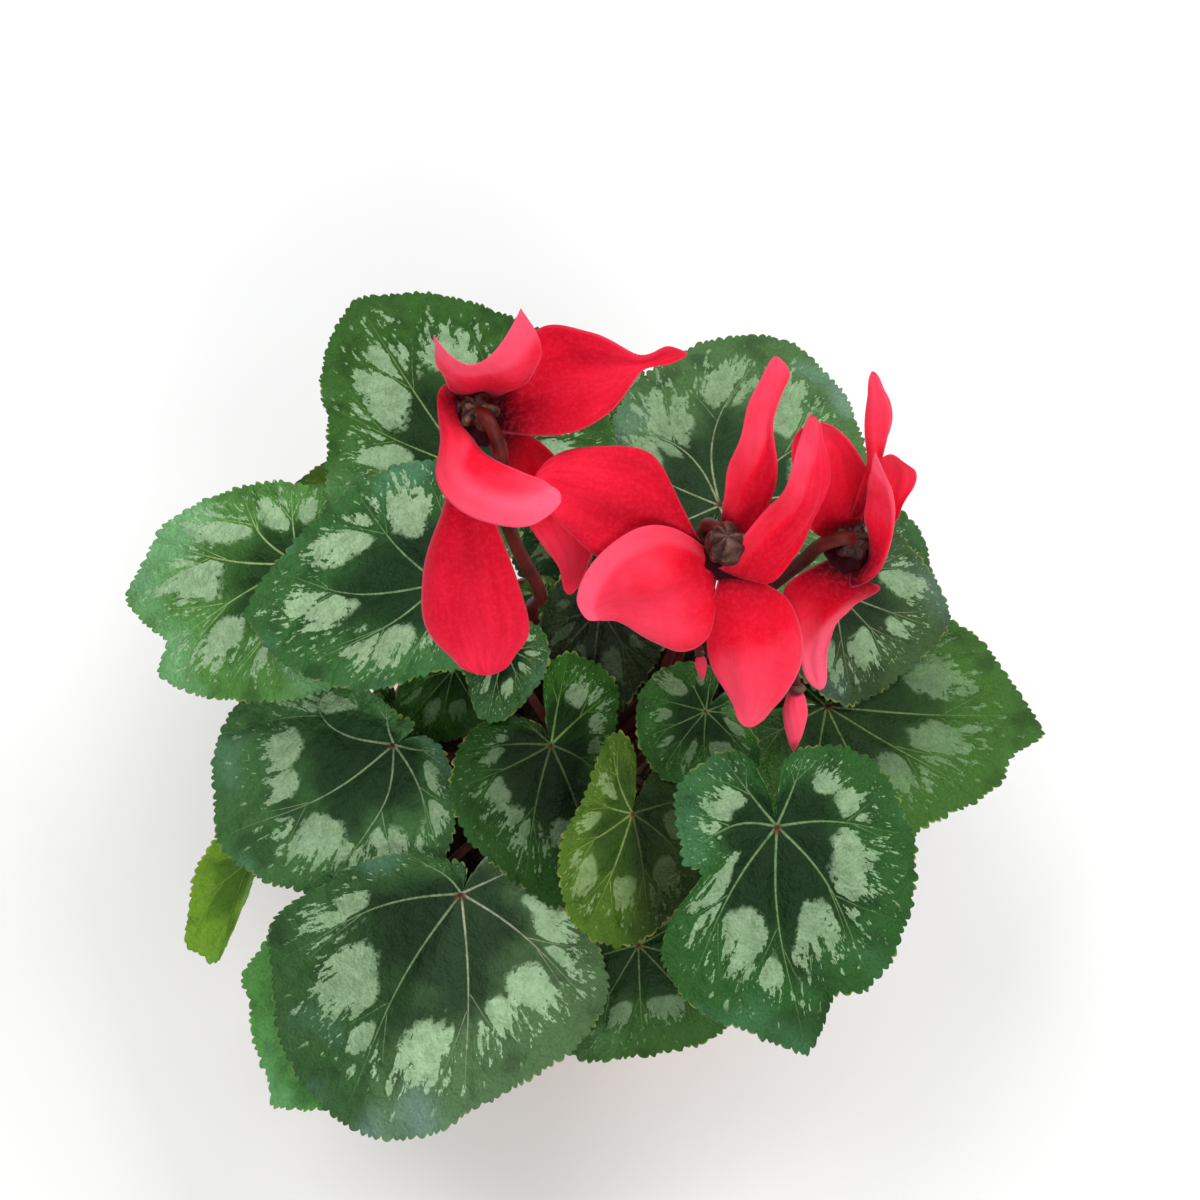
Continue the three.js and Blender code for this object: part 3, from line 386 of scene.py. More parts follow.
class Skin:
    """The points, four-cornered faces and painted marks of one piece, in millimetres."""

    def __init__(self, *names):
        self.points, self.faces, self.marks, self.count = [], [], {name: [] for name in names}, 0

    def add(self, points, faces, **marks):
        points = np.asarray(points, float).reshape(-1, 3)
        self.points.append(points)
        self.faces.append(np.asarray(faces) + self.count)
        for name, values in self.marks.items():
            shape = (len(points), 3) if name in VECTOR_MARKS else (len(points),)
            value = np.asarray(marks.get(name, 0), float)
            values.append(value.reshape(shape) if value.size > 1 else np.full(shape, value))
        self.count += len(points)

    def add_plate(self, top, bottom, walled_foot=False, under=0, **marks):
        """Two sheets of a lattice with walls between their borders, and at the foot if asked."""
        rows, columns = top.shape[:2]
        faces, size = lattice(rows, columns), rows * columns
        index = self.count + np.arange(size).reshape(rows, columns)
        self.add(top, faces, **marks)
        self.add(bottom, faces[:, ::-1], under=under, **marks)
        walls = [(index[-1], 1), (index[0], -1), (index[:, 0], 1), (index[:, -1], -1)]
        for border, flip in walls if walled_foot else walls[:1] + walls[2:]:
            near, far = border[:-1], border[1:]
            self.faces.append(np.stack([near, near + size, far + size, far], -1)[:, ::flip])

    def piece(self, name, node, material):
        """The finished piece, with the doubles at its poles and seams merged."""
        points, faces = np.vstack(self.points) * MM, np.vstack(self.faces)
        mesh = bpy.data.meshes.new(name)
        mesh.vertices.add(len(points))
        mesh.vertices.foreach_set("co", points.astype(np.float32).ravel())
        mesh.loops.add(faces.size)
        mesh.loops.foreach_set("vertex_index", faces.astype(np.int32).ravel())
        mesh.polygons.add(len(faces))
        mesh.polygons.foreach_set("loop_start", np.arange(0, faces.size, 4, dtype=np.int32))
        mesh.update(calc_edges=True)
        for mark, values in self.marks.items():
            kind, field = ("FLOAT_VECTOR", "vector") if mark in VECTOR_MARKS else ("FLOAT", "value")
            painted = mesh.attributes.new(mark, kind, "POINT")
            painted.data.foreach_set(field, np.concatenate(values).astype(np.float32).ravel())
        obj = placed(name, mesh)
        select(obj, edit=True)
        bpy.ops.mesh.remove_doubles(threshold=MERGE)
        bpy.ops.object.mode_set(mode="OBJECT")
        mesh.shade_smooth()
        dressed(obj, node, material)


# ---- materials ----
class Wire:
    """A value that runs between the nodes of a finish. Sums with it add the nodes that work them out."""

    def __init__(self, finish, socket):
        self.finish, self.socket = finish, socket

    def __add__(self, other):
        return self.finish.sum("ADD", self, other)

    def __sub__(self, other):
        return self.finish.sum("SUBTRACT", self, other)

    def __mul__(self, other):
        return self.finish.sum("MULTIPLY", self, other)


class Finish:
    """A procedural material, put together from the marks on the surface."""

    def __init__(self, name):
        self.material = bpy.data.materials.new(name)
        self.material.use_nodes = True
        self.nodes, self.links = self.material.node_tree.nodes, self.material.node_tree.links
        self.shader = self.nodes["Principled BSDF"]
        self.place = self.node("TexCoord", "Object")

    def node(self, kind, result, sources=(), **settings):
        made = self.nodes.new("ShaderNode" + kind)
        for key, value in settings.items():
            setattr(made, key, value)
        for socket, source in dict(sources).items():
            self.plug(source, made.inputs[socket])
        return Wire(self, made.outputs[result])

    def plug(self, source, socket):
        if isinstance(source, Wire):
            self.links.new(source.socket, socket)
        else:
            socket.default_value = colour(source) if isinstance(source, str) else source

    def mark(self, name):
        result = "Vector" if name in VECTOR_MARKS else "Fac"
        return self.node("Attribute", result, attribute_name=name)

    def noise(self, vector, scale, detail=3, rough=0.55):
        sources = {"Vector": vector, "Scale": scale, "Detail": detail, "Roughness": rough}
        return self.node("TexNoise", "Fac", sources)

    def cells(self, vector, scale, feature="DISTANCE_TO_EDGE"):
        sources = {"Vector": vector, "Scale": scale}
        return self.node("TexVoronoi", "Distance", sources, feature=feature)

    def sum(self, operation, *values, clamp=False):
        return self.node("Math", 0, enumerate(values), operation=operation, use_clamp=clamp)

    def eased(self, value, low, high, start=0, end=1):
        sources = {"Value": value, "From Min": low, "From Max": high, "To Min": start, "To Max": end}
        return self.node("MapRange", "Result", sources, interpolation_type="SMOOTHSTEP")

    def spread(self, vector, scale, low, high, start=0, end=1, detail=3, rough=0.55):
        """Noise, eased between two of its levels."""
        return self.eased(self.noise(vector, scale, detail, rough), low, high, start, end)

    def mix(self, share, under, over, blend="MIX"):
        sources = {0: share, 6: under, 7: over}
        return self.node("Mix", 2, sources, data_type="RGBA", blend_type=blend)

    def done(self, height=None, distance=0, strength=1, **sockets):
        """The finished material, with its bump in metres."""
        if height:
            sources = {"Height": height, "Distance": distance, "Strength": strength}
            sockets["normal"] = self.node("Bump", "Normal", sources)
        for name, source in sockets.items():
            self.plug(source, self.shader.inputs[name.replace("_", " ").title().replace("Ior", "IOR")])
        return self.material


def leaf_finish(name, inner, outer, deep, silver, vein, under, bead):
    """Green blade with silver blotches, pale veins, beaded margin and a red-brown stalk, with a painted
    bluish sheen on the outer blade and painted light and shade in each leaf's tint.
    """
    f = Finish(name)
    plane, polar, share, outward = (f.mark(m) for m in ("plane", "polar", "share", "outward"))
    tone, shine, veined = f.mark("tone"), f.mark("silver"), f.mark("vein")
    fine = f.noise(plane, 11, 4)
    green = f.mix(f.eased(share + f.noise(plane, 0.5) * 0.6, 0.62, 1.05), inner, outer)
    green = f.mix(f.spread(plane, 0.9, 0.45, 0.72, 0, 0.5, detail=2), green, deep)
    # Painted sheen: a bluish-grey cloud over the outer blade stands in for reflected light.
    painted_sheen = f.spread(plane, 0.34, 0.5, 0.68, detail=1) * f.eased(share, 0.55, 0.85, 0, 0.55)
    # Each leaf's tint multiplies the green: partly its own colour, partly painted light and shade.
    green = f.mix(1, f.mix(painted_sheen, green, "#5F9073"), tone, "MULTIPLY")
    ragged = (f.noise(polar, 1, 5, 0.66) - 0.5) * f.eased(outward, -0.4, 0.8, 0.15, 4.6)
    field = f.mark("blotch") + ragged + (f.noise(plane, 1.7, 2) - 0.5) * 0.8
    patch = f.sum("DIVIDE", field + 0.12, f.eased(outward, -0.6, 0.4, 0.3, 0.05), clamp=True)
    holes = f.eased(f.noise(plane, 6, 3, 0.65) + field * -0.5, 0.5, 0.55, 1, 0.1)
    pale = f.mix(f.spread(plane, 2.4, 0.35, 0.7, 0, 0.28), silver, green)
    skin = f.mix(patch * (holes * shine), green, pale)
    dashes = f.spread(polar, 1.8, 0.62, 0.645, rough=0.6) * f.eased(share, 0.62, 0.72)
    skin = f.mix(dashes * f.eased(share, 0.89, 0.95, 0.85, 0) * shine, skin, silver)
    line = f.eased(veined, 0.05, 0.8) * f.eased(share, 0.3, 0.95, 0.85, 0.35)
    line = line * f.spread(plane, 2, 0.3, 0.6, 0.6, 0.95, detail=2) * f.eased(shine, 0, 0.8, 0.3, 1)
    skin = f.mix(line, skin, f.mix(0.6, vein, f.mix(1, vein, tone, "MULTIPLY")))
    skin = f.mix(f.eased(fine, 0.35, 0.75) * 0.25, skin, deep)
    below = f.mix(f.spread(plane, 0.8, 0.35, 0.7), under, green)
    skin = f.mix(f.mark("under"), skin, f.mix(veined, below, vein))
    beads = f.eased(f.mark("edge"), 0.05, 0.6, 0.8, 0) * f.spread(plane, 2.2, 0.45, 0.65)
    skin = f.mix(beads, skin, bead)
    skin = f.mix(f.eased(share + fine * 0.02, 0.028, 0.06, 0.8, 0), skin, "#5A2A22")
    stalk = f.mix(f.spread(f.place, 90, 0.35, 0.7), "#5C2220", "#7E443A")
    skin = f.mix(f.mark("stalk"), skin, stalk)
    height = f.cells(plane, 12, "F1") + fine * 1.2 + f.noise(plane, 2.6, 2) * 6
    return f.done(height, 0.0004, 0.7, base_color=skin, roughness=f.spread(plane, 3, 0.3, 0.7, 0.45, 0.6),
                  specular_ior_level=0.16)


def petal_finish():
    """Coral-red velvet: near black at the eye, paler towards the tip and along the margin, with painted
    highlight and painted shade on single petals and painted shade in the throat.
    """
    f = Finish("petal")
    along, lines, cloud = f.mark("share"), f.noise(f.mark("polar"), 1, 4, 0.6), f.noise(f.place, 70) - 0.5
    red = f.mix(f.eased(along + cloud * 0.6, 0.25, 1.05), "#EC0C28", "#FF2A48")
    red = f.mix(f.eased(lines, 0.35, 0.75, 0, 0.5), red, "#CC0420")
    # Painted highlight towards pink and painted shade towards deep crimson, from each petal's pale mark.
    pale = f.mark("pale") + cloud * 0.7
    red = f.mix(f.sum("MULTIPLY", pale, 0.8, clamp=True), red, "#FF6480")
    red = f.mix(f.sum("MULTIPLY", pale, -0.9, clamp=True), red, "#A60A22")
    # Deeper red towards the foot and near black at the eye: partly the eye's own colour, partly painted shade
    # deep in the funnel of petals.
    red = f.mix(f.eased(along + lines * 0.14, 0.1, 0.5, 0.6, 0), red, "#B4031A")
    eye = f.mark("eye") + lines * 0.4
    red = f.mix(f.eased(eye, 0.35, 1.5, 0.9, 0), red, "#8A0212")
    red = f.mix(f.eased(eye, 0.25, 0.85, 0.95, 0), red, "#2E0308")
    red = f.mix(f.eased(f.mark("edge"), 0.05, 0.8, 0.22, 0), red, "#FF5A78")
    red = f.mix(f.spread(f.place, 900, 0.42, 0.7, 0, 0.14, detail=2), red, "#FF3C5C")
    # The throat's dome is painted near black: painted shade inside the funnel of petals.
    red = f.mix(f.mark("throat"), red, "#2A0307")
    return f.done(lines + f.noise(f.place, 1300, 2) * 0.5, 0.0002, 0.5, base_color=red, roughness=0.55,
                  specular_ior_level=0.08, specular_tint=(1, 0.55, 0.75, 1), sheen_weight=0.25,
                  sheen_roughness=0.4, sheen_tint=(1, 0.35, 0.6, 1))


def stem_finish():
    f = Finish("stem")
    ridge = f.noise(f.place, 700, 4)
    cup = f.mix(f.spread(f.place, 330, 0.35, 0.65), "#45251A", "#86624E")
    cup = f.mix(f.mark("edge"), "#2E0C09", cup)
    cup = f.mix(f.eased(ridge, 0.4, 0.7, 0, 0.8), cup, "#32140D")
    brown = f.mix(f.mark("throat"), f.mix(f.spread(f.place, 120, 0.3, 0.7), "#420A08", "#661812"), cup)
    return f.done(ridge, 0.0003, 0.6, base_color=brown, roughness=0.5, specular_ior_level=0.25)


def clay_finish():
    f = Finish("clay")
    body = f.mix(f.spread(f.place, 22, 0.32, 0.7, detail=5), "#9C4A2C", "#B9683F")
    bloom = f.spread(f.place, 9, 0.52, 0.78, 0, 0.5, 6, 0.65)
    grain = f.noise(f.place, 900)
    body = f.mix(f.eased(grain, 0.55, 0.8, 0, 0.35), f.mix(bloom, body, "#D2A88C"), "#7A3820")
    return f.done(grain + f.noise(f.place, 140) * 1.5, 0.0004, 0.6, base_color=body,
                  roughness=f.eased(bloom, 0, 0.5, 0.82, 0.95))


def soil_finish():
    f = Finish("soil")
    earth = f.mix(f.spread(f.place, 260, 0.3, 0.7, detail=4), "#1E140E", "#46301F")
    earth = f.mix(f.spread(f.place, 900, 0.68, 0.74), earth, "#8A7660")
    return f.done(f.cells(f.place, 420, "F1"), 0.0012, 0.8, base_color=earth, roughness=0.95)


def tuber_finish():
    f = Finish("corky_tuber")
    cork = f.mix(f.spread(f.place, 160, 0.3, 0.7, detail=5), "#3D2A1E", "#7C5C43")
    cracks = f.eased(f.cells(f.place, 180), 0, 0.12)
    return f.done(cracks, 0.0006, 0.8, base_color=f.mix(cracks, "#20130C", cork), roughness=0.9)


def floor_finish():
    f = Finish("floor")
    return f.done(base_color=f.mix(f.spread(f.place, 3, 0.3, 0.7), "#F9F9F8", "#FCFCFB"), roughness=0.8)


# ---- rods: stalks and stems ----
def rod(skin, points, radius, spacing=2.5, sides=14, ends=0.6, **marks):
    """A round rod along a curve through points, closed by a small dome at each end."""
    points = [np.asarray(p, float) for p in points]
    length = sum(np.linalg.norm(b - a) for a, b in zip(points, points[1:]))
    steps = max(int(length / spacing), 4 * (len(points) - 1))
    line = smooth_curve(points, np.linspace(0, 1, steps + 1))
    ahead = unit(np.gradient(line, axis=0))
    side = np.zeros_like(line)
    start = np.cross(ahead[0], (0.3, 0.9, 0.1))
    for i, direction in enumerate(ahead):
        start = start - direction * (start @ direction)
        start = start / np.linalg.norm(start)
        side[i] = start
    other = np.cross(ahead, side)
    domes = ends * radius * np.array([1, 0.6])[:, None]
    line = np.vstack([line[0] - ahead[0] * domes, line, line[-1] + ahead[-1] * domes[::-1]])
    widths = np.array([0, 0.7 * radius] + [radius] * len(ahead) + [0.7 * radius, 0])
    side, other = (np.vstack([v[:1], v[:1], v, v[-1:], v[-1:]]) for v in (side, other))
    turn = np.linspace(0, TURN, sides, endpoint=False)[:, None]
    ring = side[:, None] * np.cos(turn) + other[:, None] * np.sin(turn)
    shell = line[:, None] + ring * widths[:, None, None]
    skin.add(shell, lattice(len(line), sides, round_again=True)[:, ::-1], **marks)


def raised(point, height):
    return np.asarray(point, float) + (0, 0, height)


def rooted(root):
    """The foot of a stalk in its hole in the tuber, and the point where it has left it."""
    angle, distance = math.radians(root[0]), root[1]
    share = min(distance / TUBER["radius"], 0.95)
    crown = TUBER["centre"] + TUBER["height"] * math.sqrt(1 - share ** TUBER["flatness"])
    start = around(distance, angle, crown - SOCKET["depth"] + SOCKET["seat"])
    return [start, raised(start, SOCKET["depth"] + SOCKET["neck"])]


# ---- leaves ----
def blade_frame(leaf):
    h, d, r = (math.radians(v) for v in (leaf["heading"], leaf["dip"], leaf.get("roll", 0)))
    along = np.array([math.cos(h) * math.cos(d), math.sin(h) * math.cos(d), -math.sin(d)])
    level = np.array([-math.sin(h), math.cos(h), 0])
    across = level * math.cos(r) + np.cross(along, level) * math.sin(r)
    return along, across, np.cross(along, across)


def margin_reach(leaf, degrees):
    """Distance from the stalk to the margin, without its teeth."""
    reach = np.asarray(leaf["reach"], float)
    place = np.clip((degrees - REACHES["first"]) / REACHES["step"], 0, len(reach) - 1.001)
    k = place.astype(int)
    t = place - k
    p0, p1, p2, p3 = (reach[np.clip(k + i, 0, len(reach) - 1)] for i in (-1, 0, 1, 2))
    bend = 2 * p0 - 5 * p1 + 4 * p2 - p3 + t * (3 * (p1 - p2) + p3 - p0)
    smooth = p1 + 0.5 * t * (p2 - p0 + t * bend)
    lobe = np.clip((np.abs(degrees) - LOBE["from"]) / LOBE["span"], 0, 1)
    rounding = LOBE["least"] + (1 - LOBE["least"]) * np.sqrt(1 - lobe * lobe)
    tip = leaf.get("point", 0) * np.maximum(0, 1 - np.abs(degrees) / POINT_SPREAD) ** 2
    swells = sum(height * np.exp(-((degrees - middle) / spread) ** 2)
                 for middle, height, spread in leaf.get("swells", ()))
    return smooth * rounding + tip + swells


def thickness(share):
    return BLADE["thick"] * (1 - BLADE["thinned"] * eased(share, BLADE["from"], 1))


class Blade:
    """The surface of one leaf, worked out at any direction (degrees) and distance from its stalk."""

    def __init__(self, name, leaf):
        self.name, self.leaf = name, leaf
        self.along, self.across, self.up = blade_frame(leaf)
        self.rng = np.random.default_rng(sum(map(ord, name)))
        self.seed = self.rng.uniform(0, 40)
        self.phases = self.rng.uniform(0, TURN, 3)
        self.longest = max(leaf["reach"])
        self.small = self.longest < SMALL
        shift = self.rng.uniform(-9, 9, len(ANY_VEINS))
        self.mains = VEINS.get(name) or [(a + s, b + 0.6 * s) for (a, b), s in zip(ANY_VEINS, shift)]
        self.veins = self.vein_lines()

    def reach(self, degrees):
        return margin_reach(self.leaf, degrees)

    def lift(self, degrees, radius, gap):
        """Height over the leaf's plane; gap is the distance to the nearest vein."""
        angle, ahead = np.radians(degrees), self.leaf["reach"][4]
        share = radius / np.maximum(self.reach(degrees), 1e-6)
        size = min(ahead / 50, 1)
        shape = self.leaf.get("fold", 0) * (np.hypot(radius * np.sin(angle), CREASE) - CREASE)
        shape = shape - self.leaf["arch"] * (radius / ahead) ** 2
        wave = np.sin(3 * angle + self.phases[0]) + np.sin(7 * angle + self.phases[1])
        wave = wave + 0.5 * np.sin(13 * angle + self.phases[2])
        shape = shape + size * WAVE["height"] * 0.5 * wave * eased(share, WAVE["from"], 1)
        quilt = size * QUILT["height"] * (1 - np.exp(-((gap / (size * QUILT["width"])) ** 2)))
        bumps = lumps(around(radius, angle, self.seed), PUCKER["size"], size * PUCKER["height"], 5)
        quilt = quilt + bumps * eased(gap, 0.5, 3)
        return shape + quilt * eased(share, 0.04, 0.3) * (1 - 0.5 * eased(share, 0.85, 1))

    def point(self, degrees, radius, gap, rise=0):
        flat = around(radius, np.radians(degrees))
        high = self.lift(degrees, radius, gap) + rise
        flat = flat[..., :1] * self.along + flat[..., 1:] * self.across
        return np.asarray(self.leaf["at"], float) + flat + high[..., None] * self.up

    def vein_lines(self):
        """Veins as (directions, distances, width at the start, width at the end)."""
        lines, draw = [], self.rng.uniform

        def line(degrees, share, wide, narrow):
            lines.append((degrees, share * self.reach(degrees), wide, narrow))

        def branch(start, swing, first, last, wide, narrow, bend=1):
            t = np.linspace(0, 1, 16)
            line(start + swing * t ** bend, first + (last - first) * t, wide, narrow)

        for near, far in self.mains:
            def main_at(share):
                return near + (far - near) * eased(share, 0.1, 0.95)

            share = np.linspace(0.015, 0.95, 30)
            line(main_at(share), share, 1, 0.35)
            for side in (-1, 1) if self.longest >= SMALLEST else ():
                fork = draw(*FORK["at"])
                swing = side * draw(*FORK["swing"])
                start = main_at(fork)
                if abs(start + swing) > FORK["last"]:
                    continue
                branch(start, swing, fork, draw(*FORK["end"]), 0.6, 0.2, 0.8)
                if self.small:
                    continue
                twig = draw(*TWIG["at"])
                away = start + swing * ((twig - fork) / 0.4) ** 0.8
                branch(away, side * draw(*TWIG["swing"]), twig, TWIG["end"], 0.35, 0.15)
                inner = draw(*SPUR["at"])
                branch(main_at(inner), side * SPUR["swing"], inner, inner + draw(*SPUR["long"]), 0.35, 0.1)
        return lines

    def gap(self, degrees, radius):
        """Distance from places on the blade to the nearest main vein or fork."""
        flat = around(radius, np.radians(degrees)).reshape(-1, 2)
        best = np.full(len(flat), 1e9)
        for directions, distances, wide, _ in self.veins:
            line = around(distances, np.radians(directions))
            for start, step in zip(line, np.diff(line, axis=0) if wide >= 0.5 else ()):
                t = np.clip(((flat - start) @ step) / (step @ step), 0, 1)
                best = np.minimum(best, np.linalg.norm(flat - start - t[:, None] * step, axis=1))
        return best.reshape(degrees.shape)

    def blotch(self, degrees, share):
        """How far a place is inside a silver blotch, and how far outward in it."""
        spots = BLOTCHES.get(self.name)
        if spots is None:
            mains = [far for _, far in self.mains]
            draw = np.random.default_rng(int(self.seed * 1000)).uniform
            spots = [((a + b) / 2, draw(0.36, 0.56), draw(0.66, 0.84), draw(0.12, 0.46) * (b - a))
                     for a, b in zip(mains, mains[1:])]
        field, outward = np.full(degrees.shape, -1.0), np.zeros(degrees.shape)
        for centre, inner, outer, half in spots:
            depth = 2 * (share - inner) / (outer - inner) - 1
            egg = 1 - np.hypot((degrees - centre) / (1.3 * half), np.where(depth < 0, depth, 0.78 * depth))
            nearer = egg > field
            field = np.where(nearer, egg, field)
            outward = np.where(nearer, depth, outward)
        return np.clip(field, -1, 1), np.clip(outward, -1, 1.5)

    def paint(self, degrees, radius, gap):
        """The marks that the finish reads."""
        reach = self.reach(degrees)
        share = radius / np.maximum(reach, 1e-6)
        blotch, outward = self.blotch(degrees, share)
        blotch = blotch - 0.9 * np.exp(-((gap / 0.8) ** 2))
        plane = around(radius, np.radians(degrees), 10 * self.seed) / 10
        polar = np.stack([degrees / 3.2, share * 7, np.full(degrees.shape, self.seed)], -1)
        tint, silver = LOOKS.get(self.name, OTHER_LOOK)
        # Painted sheen or painted shade on one part of the blade, times the leaf's tint with its painted
        # light and shade.
        start, end, factor = PAINTED_LIGHT_PARTS.get(self.name, NO_PAINTED_LIGHT_PART)
        part_light = 1 + (np.asarray(factor) - 1) * eased(degrees, start, end)[..., None]
        return dict(plane=plane, polar=polar, share=share, edge=(1 - share) * reach, blotch=blotch,
                    outward=outward, tone=part_light * tint, silver=np.clip(silver * part_light[..., 1], 0, 1))

    def add_sheet(self, skin):
        """The toothed blade, on rings of points from the stalk to the margin."""
        wide = np.linspace(BLADE["slit"] - 180, 180 - BLADE["slit"], 4001)
        run = run_along(around(self.reach(wide), np.radians(wide)))
        teeth = max(int(run[-1] / TOOTH["pitch"]), 12)
        phase = np.arange(teeth * TOOTH["samples"] + 1) / TOOTH["samples"]
        degrees = np.interp(np.linspace(0, run[-1], len(phase)), run, wide)
        sizes = np.repeat(self.rng.uniform(0.6, 1.15, teeth), TOOTH["samples"])
        sizes = np.append(sizes, sizes[-1])
        phase = phase + 0.25 * np.sin(phase * 1.7 + self.phases[0]) * np.sin(math.pi * phase / teeth)
        tooth = TOOTH["height"] * (sizes * np.abs(np.sin(math.pi * phase)) ** 0.6 - 0.45)
        tooth = tooth * min(self.longest / 40, 1)
        ring, column = np.meshgrid(SMALL_RINGS if self.small else RINGS, degrees, indexing="ij")
        reach = self.reach(column)
        uneven = UNEVEN["height"] * sum(np.sin(k * np.radians(degrees) + self.phases[k % 3] * k)
                                        for k in UNEVEN["waves"])
        radius = ring * reach * (1 + uneven * ring ** 3) + tooth * eased(ring, TOOTH["from"], 1)
        radius = np.maximum(radius, 0)
        gap = self.gap(column, radius)
        top = self.point(column, radius, gap)
        bottom = top - thickness(ring)[..., None] * self.up
        skin.add_plate(top, bottom, under=1, **self.paint(column, ring * reach, gap))

    def add_rib(self, skin, line, below):
        """A raised vein, on the blade or below it: a ridge between two lines sunk in the blade."""
        degrees, distances, wide, narrow = line
        flat = around(distances, np.radians(degrees))
        ahead = unit(np.gradient(flat, axis=0))
        side = np.stack([-ahead[:, 1], ahead[:, 0]], -1)
        taper = np.linspace(wide, narrow, len(flat))
        taper[0], taper[-1] = (0 if wide < 1 else wide), 0
        size = min(self.leaf["reach"][4] / 45, 1) ** 0.5
        width = RIB["width"] * taper * size * (1.5 if below else 1)
        height = RIB["under" if below else "height"] * taper * size
        rows = []
        for offset, rise in ((-0.5, 0), (0, 1), (0.5, 0)):
            x, y = (flat + side * (offset * width)[:, None]).T
            away = np.degrees(np.arctan2(y, x))
            away = degrees + (away - degrees + 180) % 360 - 180
            radius = np.hypot(x, y)
            out = rise * (height + RIB["sunk"]) - RIB["sunk"] * (taper > 0)
            if below:
                out = -thickness(radius / self.reach(away)) - out
            rows.append((self.point(away, radius, abs(offset) * width, out), away, radius))
        shell, away, radius = (np.stack(values, 1) for values in zip(*rows))
        marks = dict(self.paint(away, radius, np.zeros_like(away)), blotch=-1, under=float(below))
        vein = np.array([0, 1, 0]) * np.sqrt(np.maximum(taper, 0.15))[:, None]
        faces = lattice(len(flat), 3, round_again=True)
        skin.add(shell, faces[:, ::-1] if below else faces, vein=vein, **marks)

    def add_stalk(self, skin):
        start, neck = rooted(self.leaf["root"])
        end = np.asarray(self.leaf["at"]) + self.along * STALK_END["along"] - self.up * STALK_END["sunk"]
        below = end - self.up * STALK_END["below"]
        middle = raised((start + below) / 2, STALK_END["bow"] * (below[2] - start[2]))
        points = [start, neck, self.leaf.get("via", middle), below, end]
        rod(skin, points, STALK_RADIUS, ends=0.3, stalk=1, share=0.5, edge=9, blotch=-1)


def add_leaf(name, leaf, slot, material):
    blade = Blade(name, leaf)
    skin = Skin(*LEAF_MARKS)
    blade.add_sheet(skin)
    for line in blade.veins:
        blade.add_rib(skin, line, False)
        if line[2] >= 0.5:
            blade.add_rib(skin, line, True)
    blade.add_stalk(skin)
    skin.piece(f"grown_leaf_{name}", f"leaf_{name}", material)


# ---- blooms ----
def margin(points, tip):
    """One margin of a petal, from the ring of the throat to the tip."""
    x, y, z = points[0]
    ring = THROAT["radius"] / math.hypot(x, y)
    return [(x * ring, y * ring, min(max(z, -1), 0)), *points, *([tip] if tip else [])]


def add_petal(skin, eye, petal, number, dark, strip, light_and_shade):
    tip, rows = petal.get("tip"), petal.get("rows", PETAL["rows"])
    left, right = margin(petal["a"], tip), margin(petal["b"], tip)
    shares = 1 - (1 - np.linspace(0, 1, PETAL_GRID["rows"] + 1)) ** 1.3
    start, end = along_curve(left, shares), along_curve(right, shares)
    if tip:
        before = (rows - 1) / rows
        spread = (along_curve(right, [before]) - along_curve(left, [before]))[0]
        late = np.clip((shares - before) / (1 - before), 0, 1)
        round_off = late * np.sqrt(np.maximum(0, 1 - late ** 4)) * 1.2
        start = start - spread * PETAL["tip_width"] * round_off[:, None]
        end = end + spread * PETAL["tip_width"] * round_off[:, None]
    bend = shares ** 2 if petal.get("open") else np.sin(math.pi * shares)
    s = np.linspace(0, 1, PETAL_GRID["columns"] + 1)
    middle = start[:, None] * (1 - s)[:, None] + end[:, None] * s[:, None]
    middle = middle + np.asarray(petal["sag"], float) * (4 * s * (1 - s))[:, None] * bend[:, None, None]
    normal = unit(np.cross(np.gradient(middle, axis=0), np.gradient(middle, axis=1)))
    for border, inside in ((0, 1), (-1, -2)):
        normal[border] = normal[inside]
    width = np.linalg.norm(end - start, axis=1)[:, None]
    s, along = np.broadcast_arrays(s, shares[:, None])
    fold = np.cos(TURN * (2 * s + 0.17 * number)) * (0.5 + 0.035 * width) * np.sin(math.pi * along)
    ripple = 0.5 * np.sin(17 * along + 2 * number) * (2 * np.abs(s - 0.5)) ** 3
    middle = middle + normal * ((0.6 * fold + ripple * eased(along, 0.1, 0.4)) * 0.8)[..., None]
    # Painted highlight and painted shade from the petal's foot to its tip.
    pale = light_and_shade[0] + (light_and_shade[1] - light_and_shade[0]) * along
    # An upturned strip along one margin, painted paler as a painted highlight.
    if strip:
        side, broad, rise = strip
        inward = {"a": s * width, "b": (1 - s) * width, "end": (1 - along) * 30}[side]
        pale = pale + 0.5 * (1 - eased(inward, 0.7 * broad, 1.2 * broad))
        lift = rise * np.maximum(broad - inward, 0) * eased(along, 0.15, 0.4)
        middle = middle + normal * lift[..., None]
    edge = np.minimum(np.minimum(s, 1 - s) * width, (1 - along) * 40)
    half = normal * (PETAL["thick"] * (0.3 + 0.6 * eased(edge, 0, 1.5)) * 0.5)[..., None]
    polar = np.stack([s * 14, along * 3.5, np.full(edge.shape, 7.3 * number)], -1)
    middle = np.asarray(eye, float) + middle
    skin.add_plate(middle + half, middle - half, walled_foot=True, share=along, edge=edge, eye=along / dark,
                   pale=pale, polar=polar)


def turned(skin, profile, place, frame=None, segments=60, shape=None, **marks):
    """A body turned round an upright axis from its profile, which runs smoothly through its points."""
    line = smooth_curve([(r, 0, z) for r, z in profile], np.linspace(0, 1, 6 * (len(profile) - 1) + 1))
    turn = np.linspace(0, TURN, segments, endpoint=False)
    wide, high, _ = np.broadcast_arrays(np.maximum(line[:, :1], 0), line[:, 2:], turn)
    wide = wide.copy()
    wide[0], wide[-1] = 0, 0
    if shape:
        wide, high = shape(wide, high, turn)
    body = around(wide, turn, high)
    if frame is not None:
        body = body @ np.asarray(frame).T
    faces = lattice(len(line), segments, round_again=True)[:, ::-1]
    marks = {name: np.broadcast_to(values, wide.shape) for name, values in marks.items()}
    skin.add(body + np.asarray(place, float), faces, **marks)


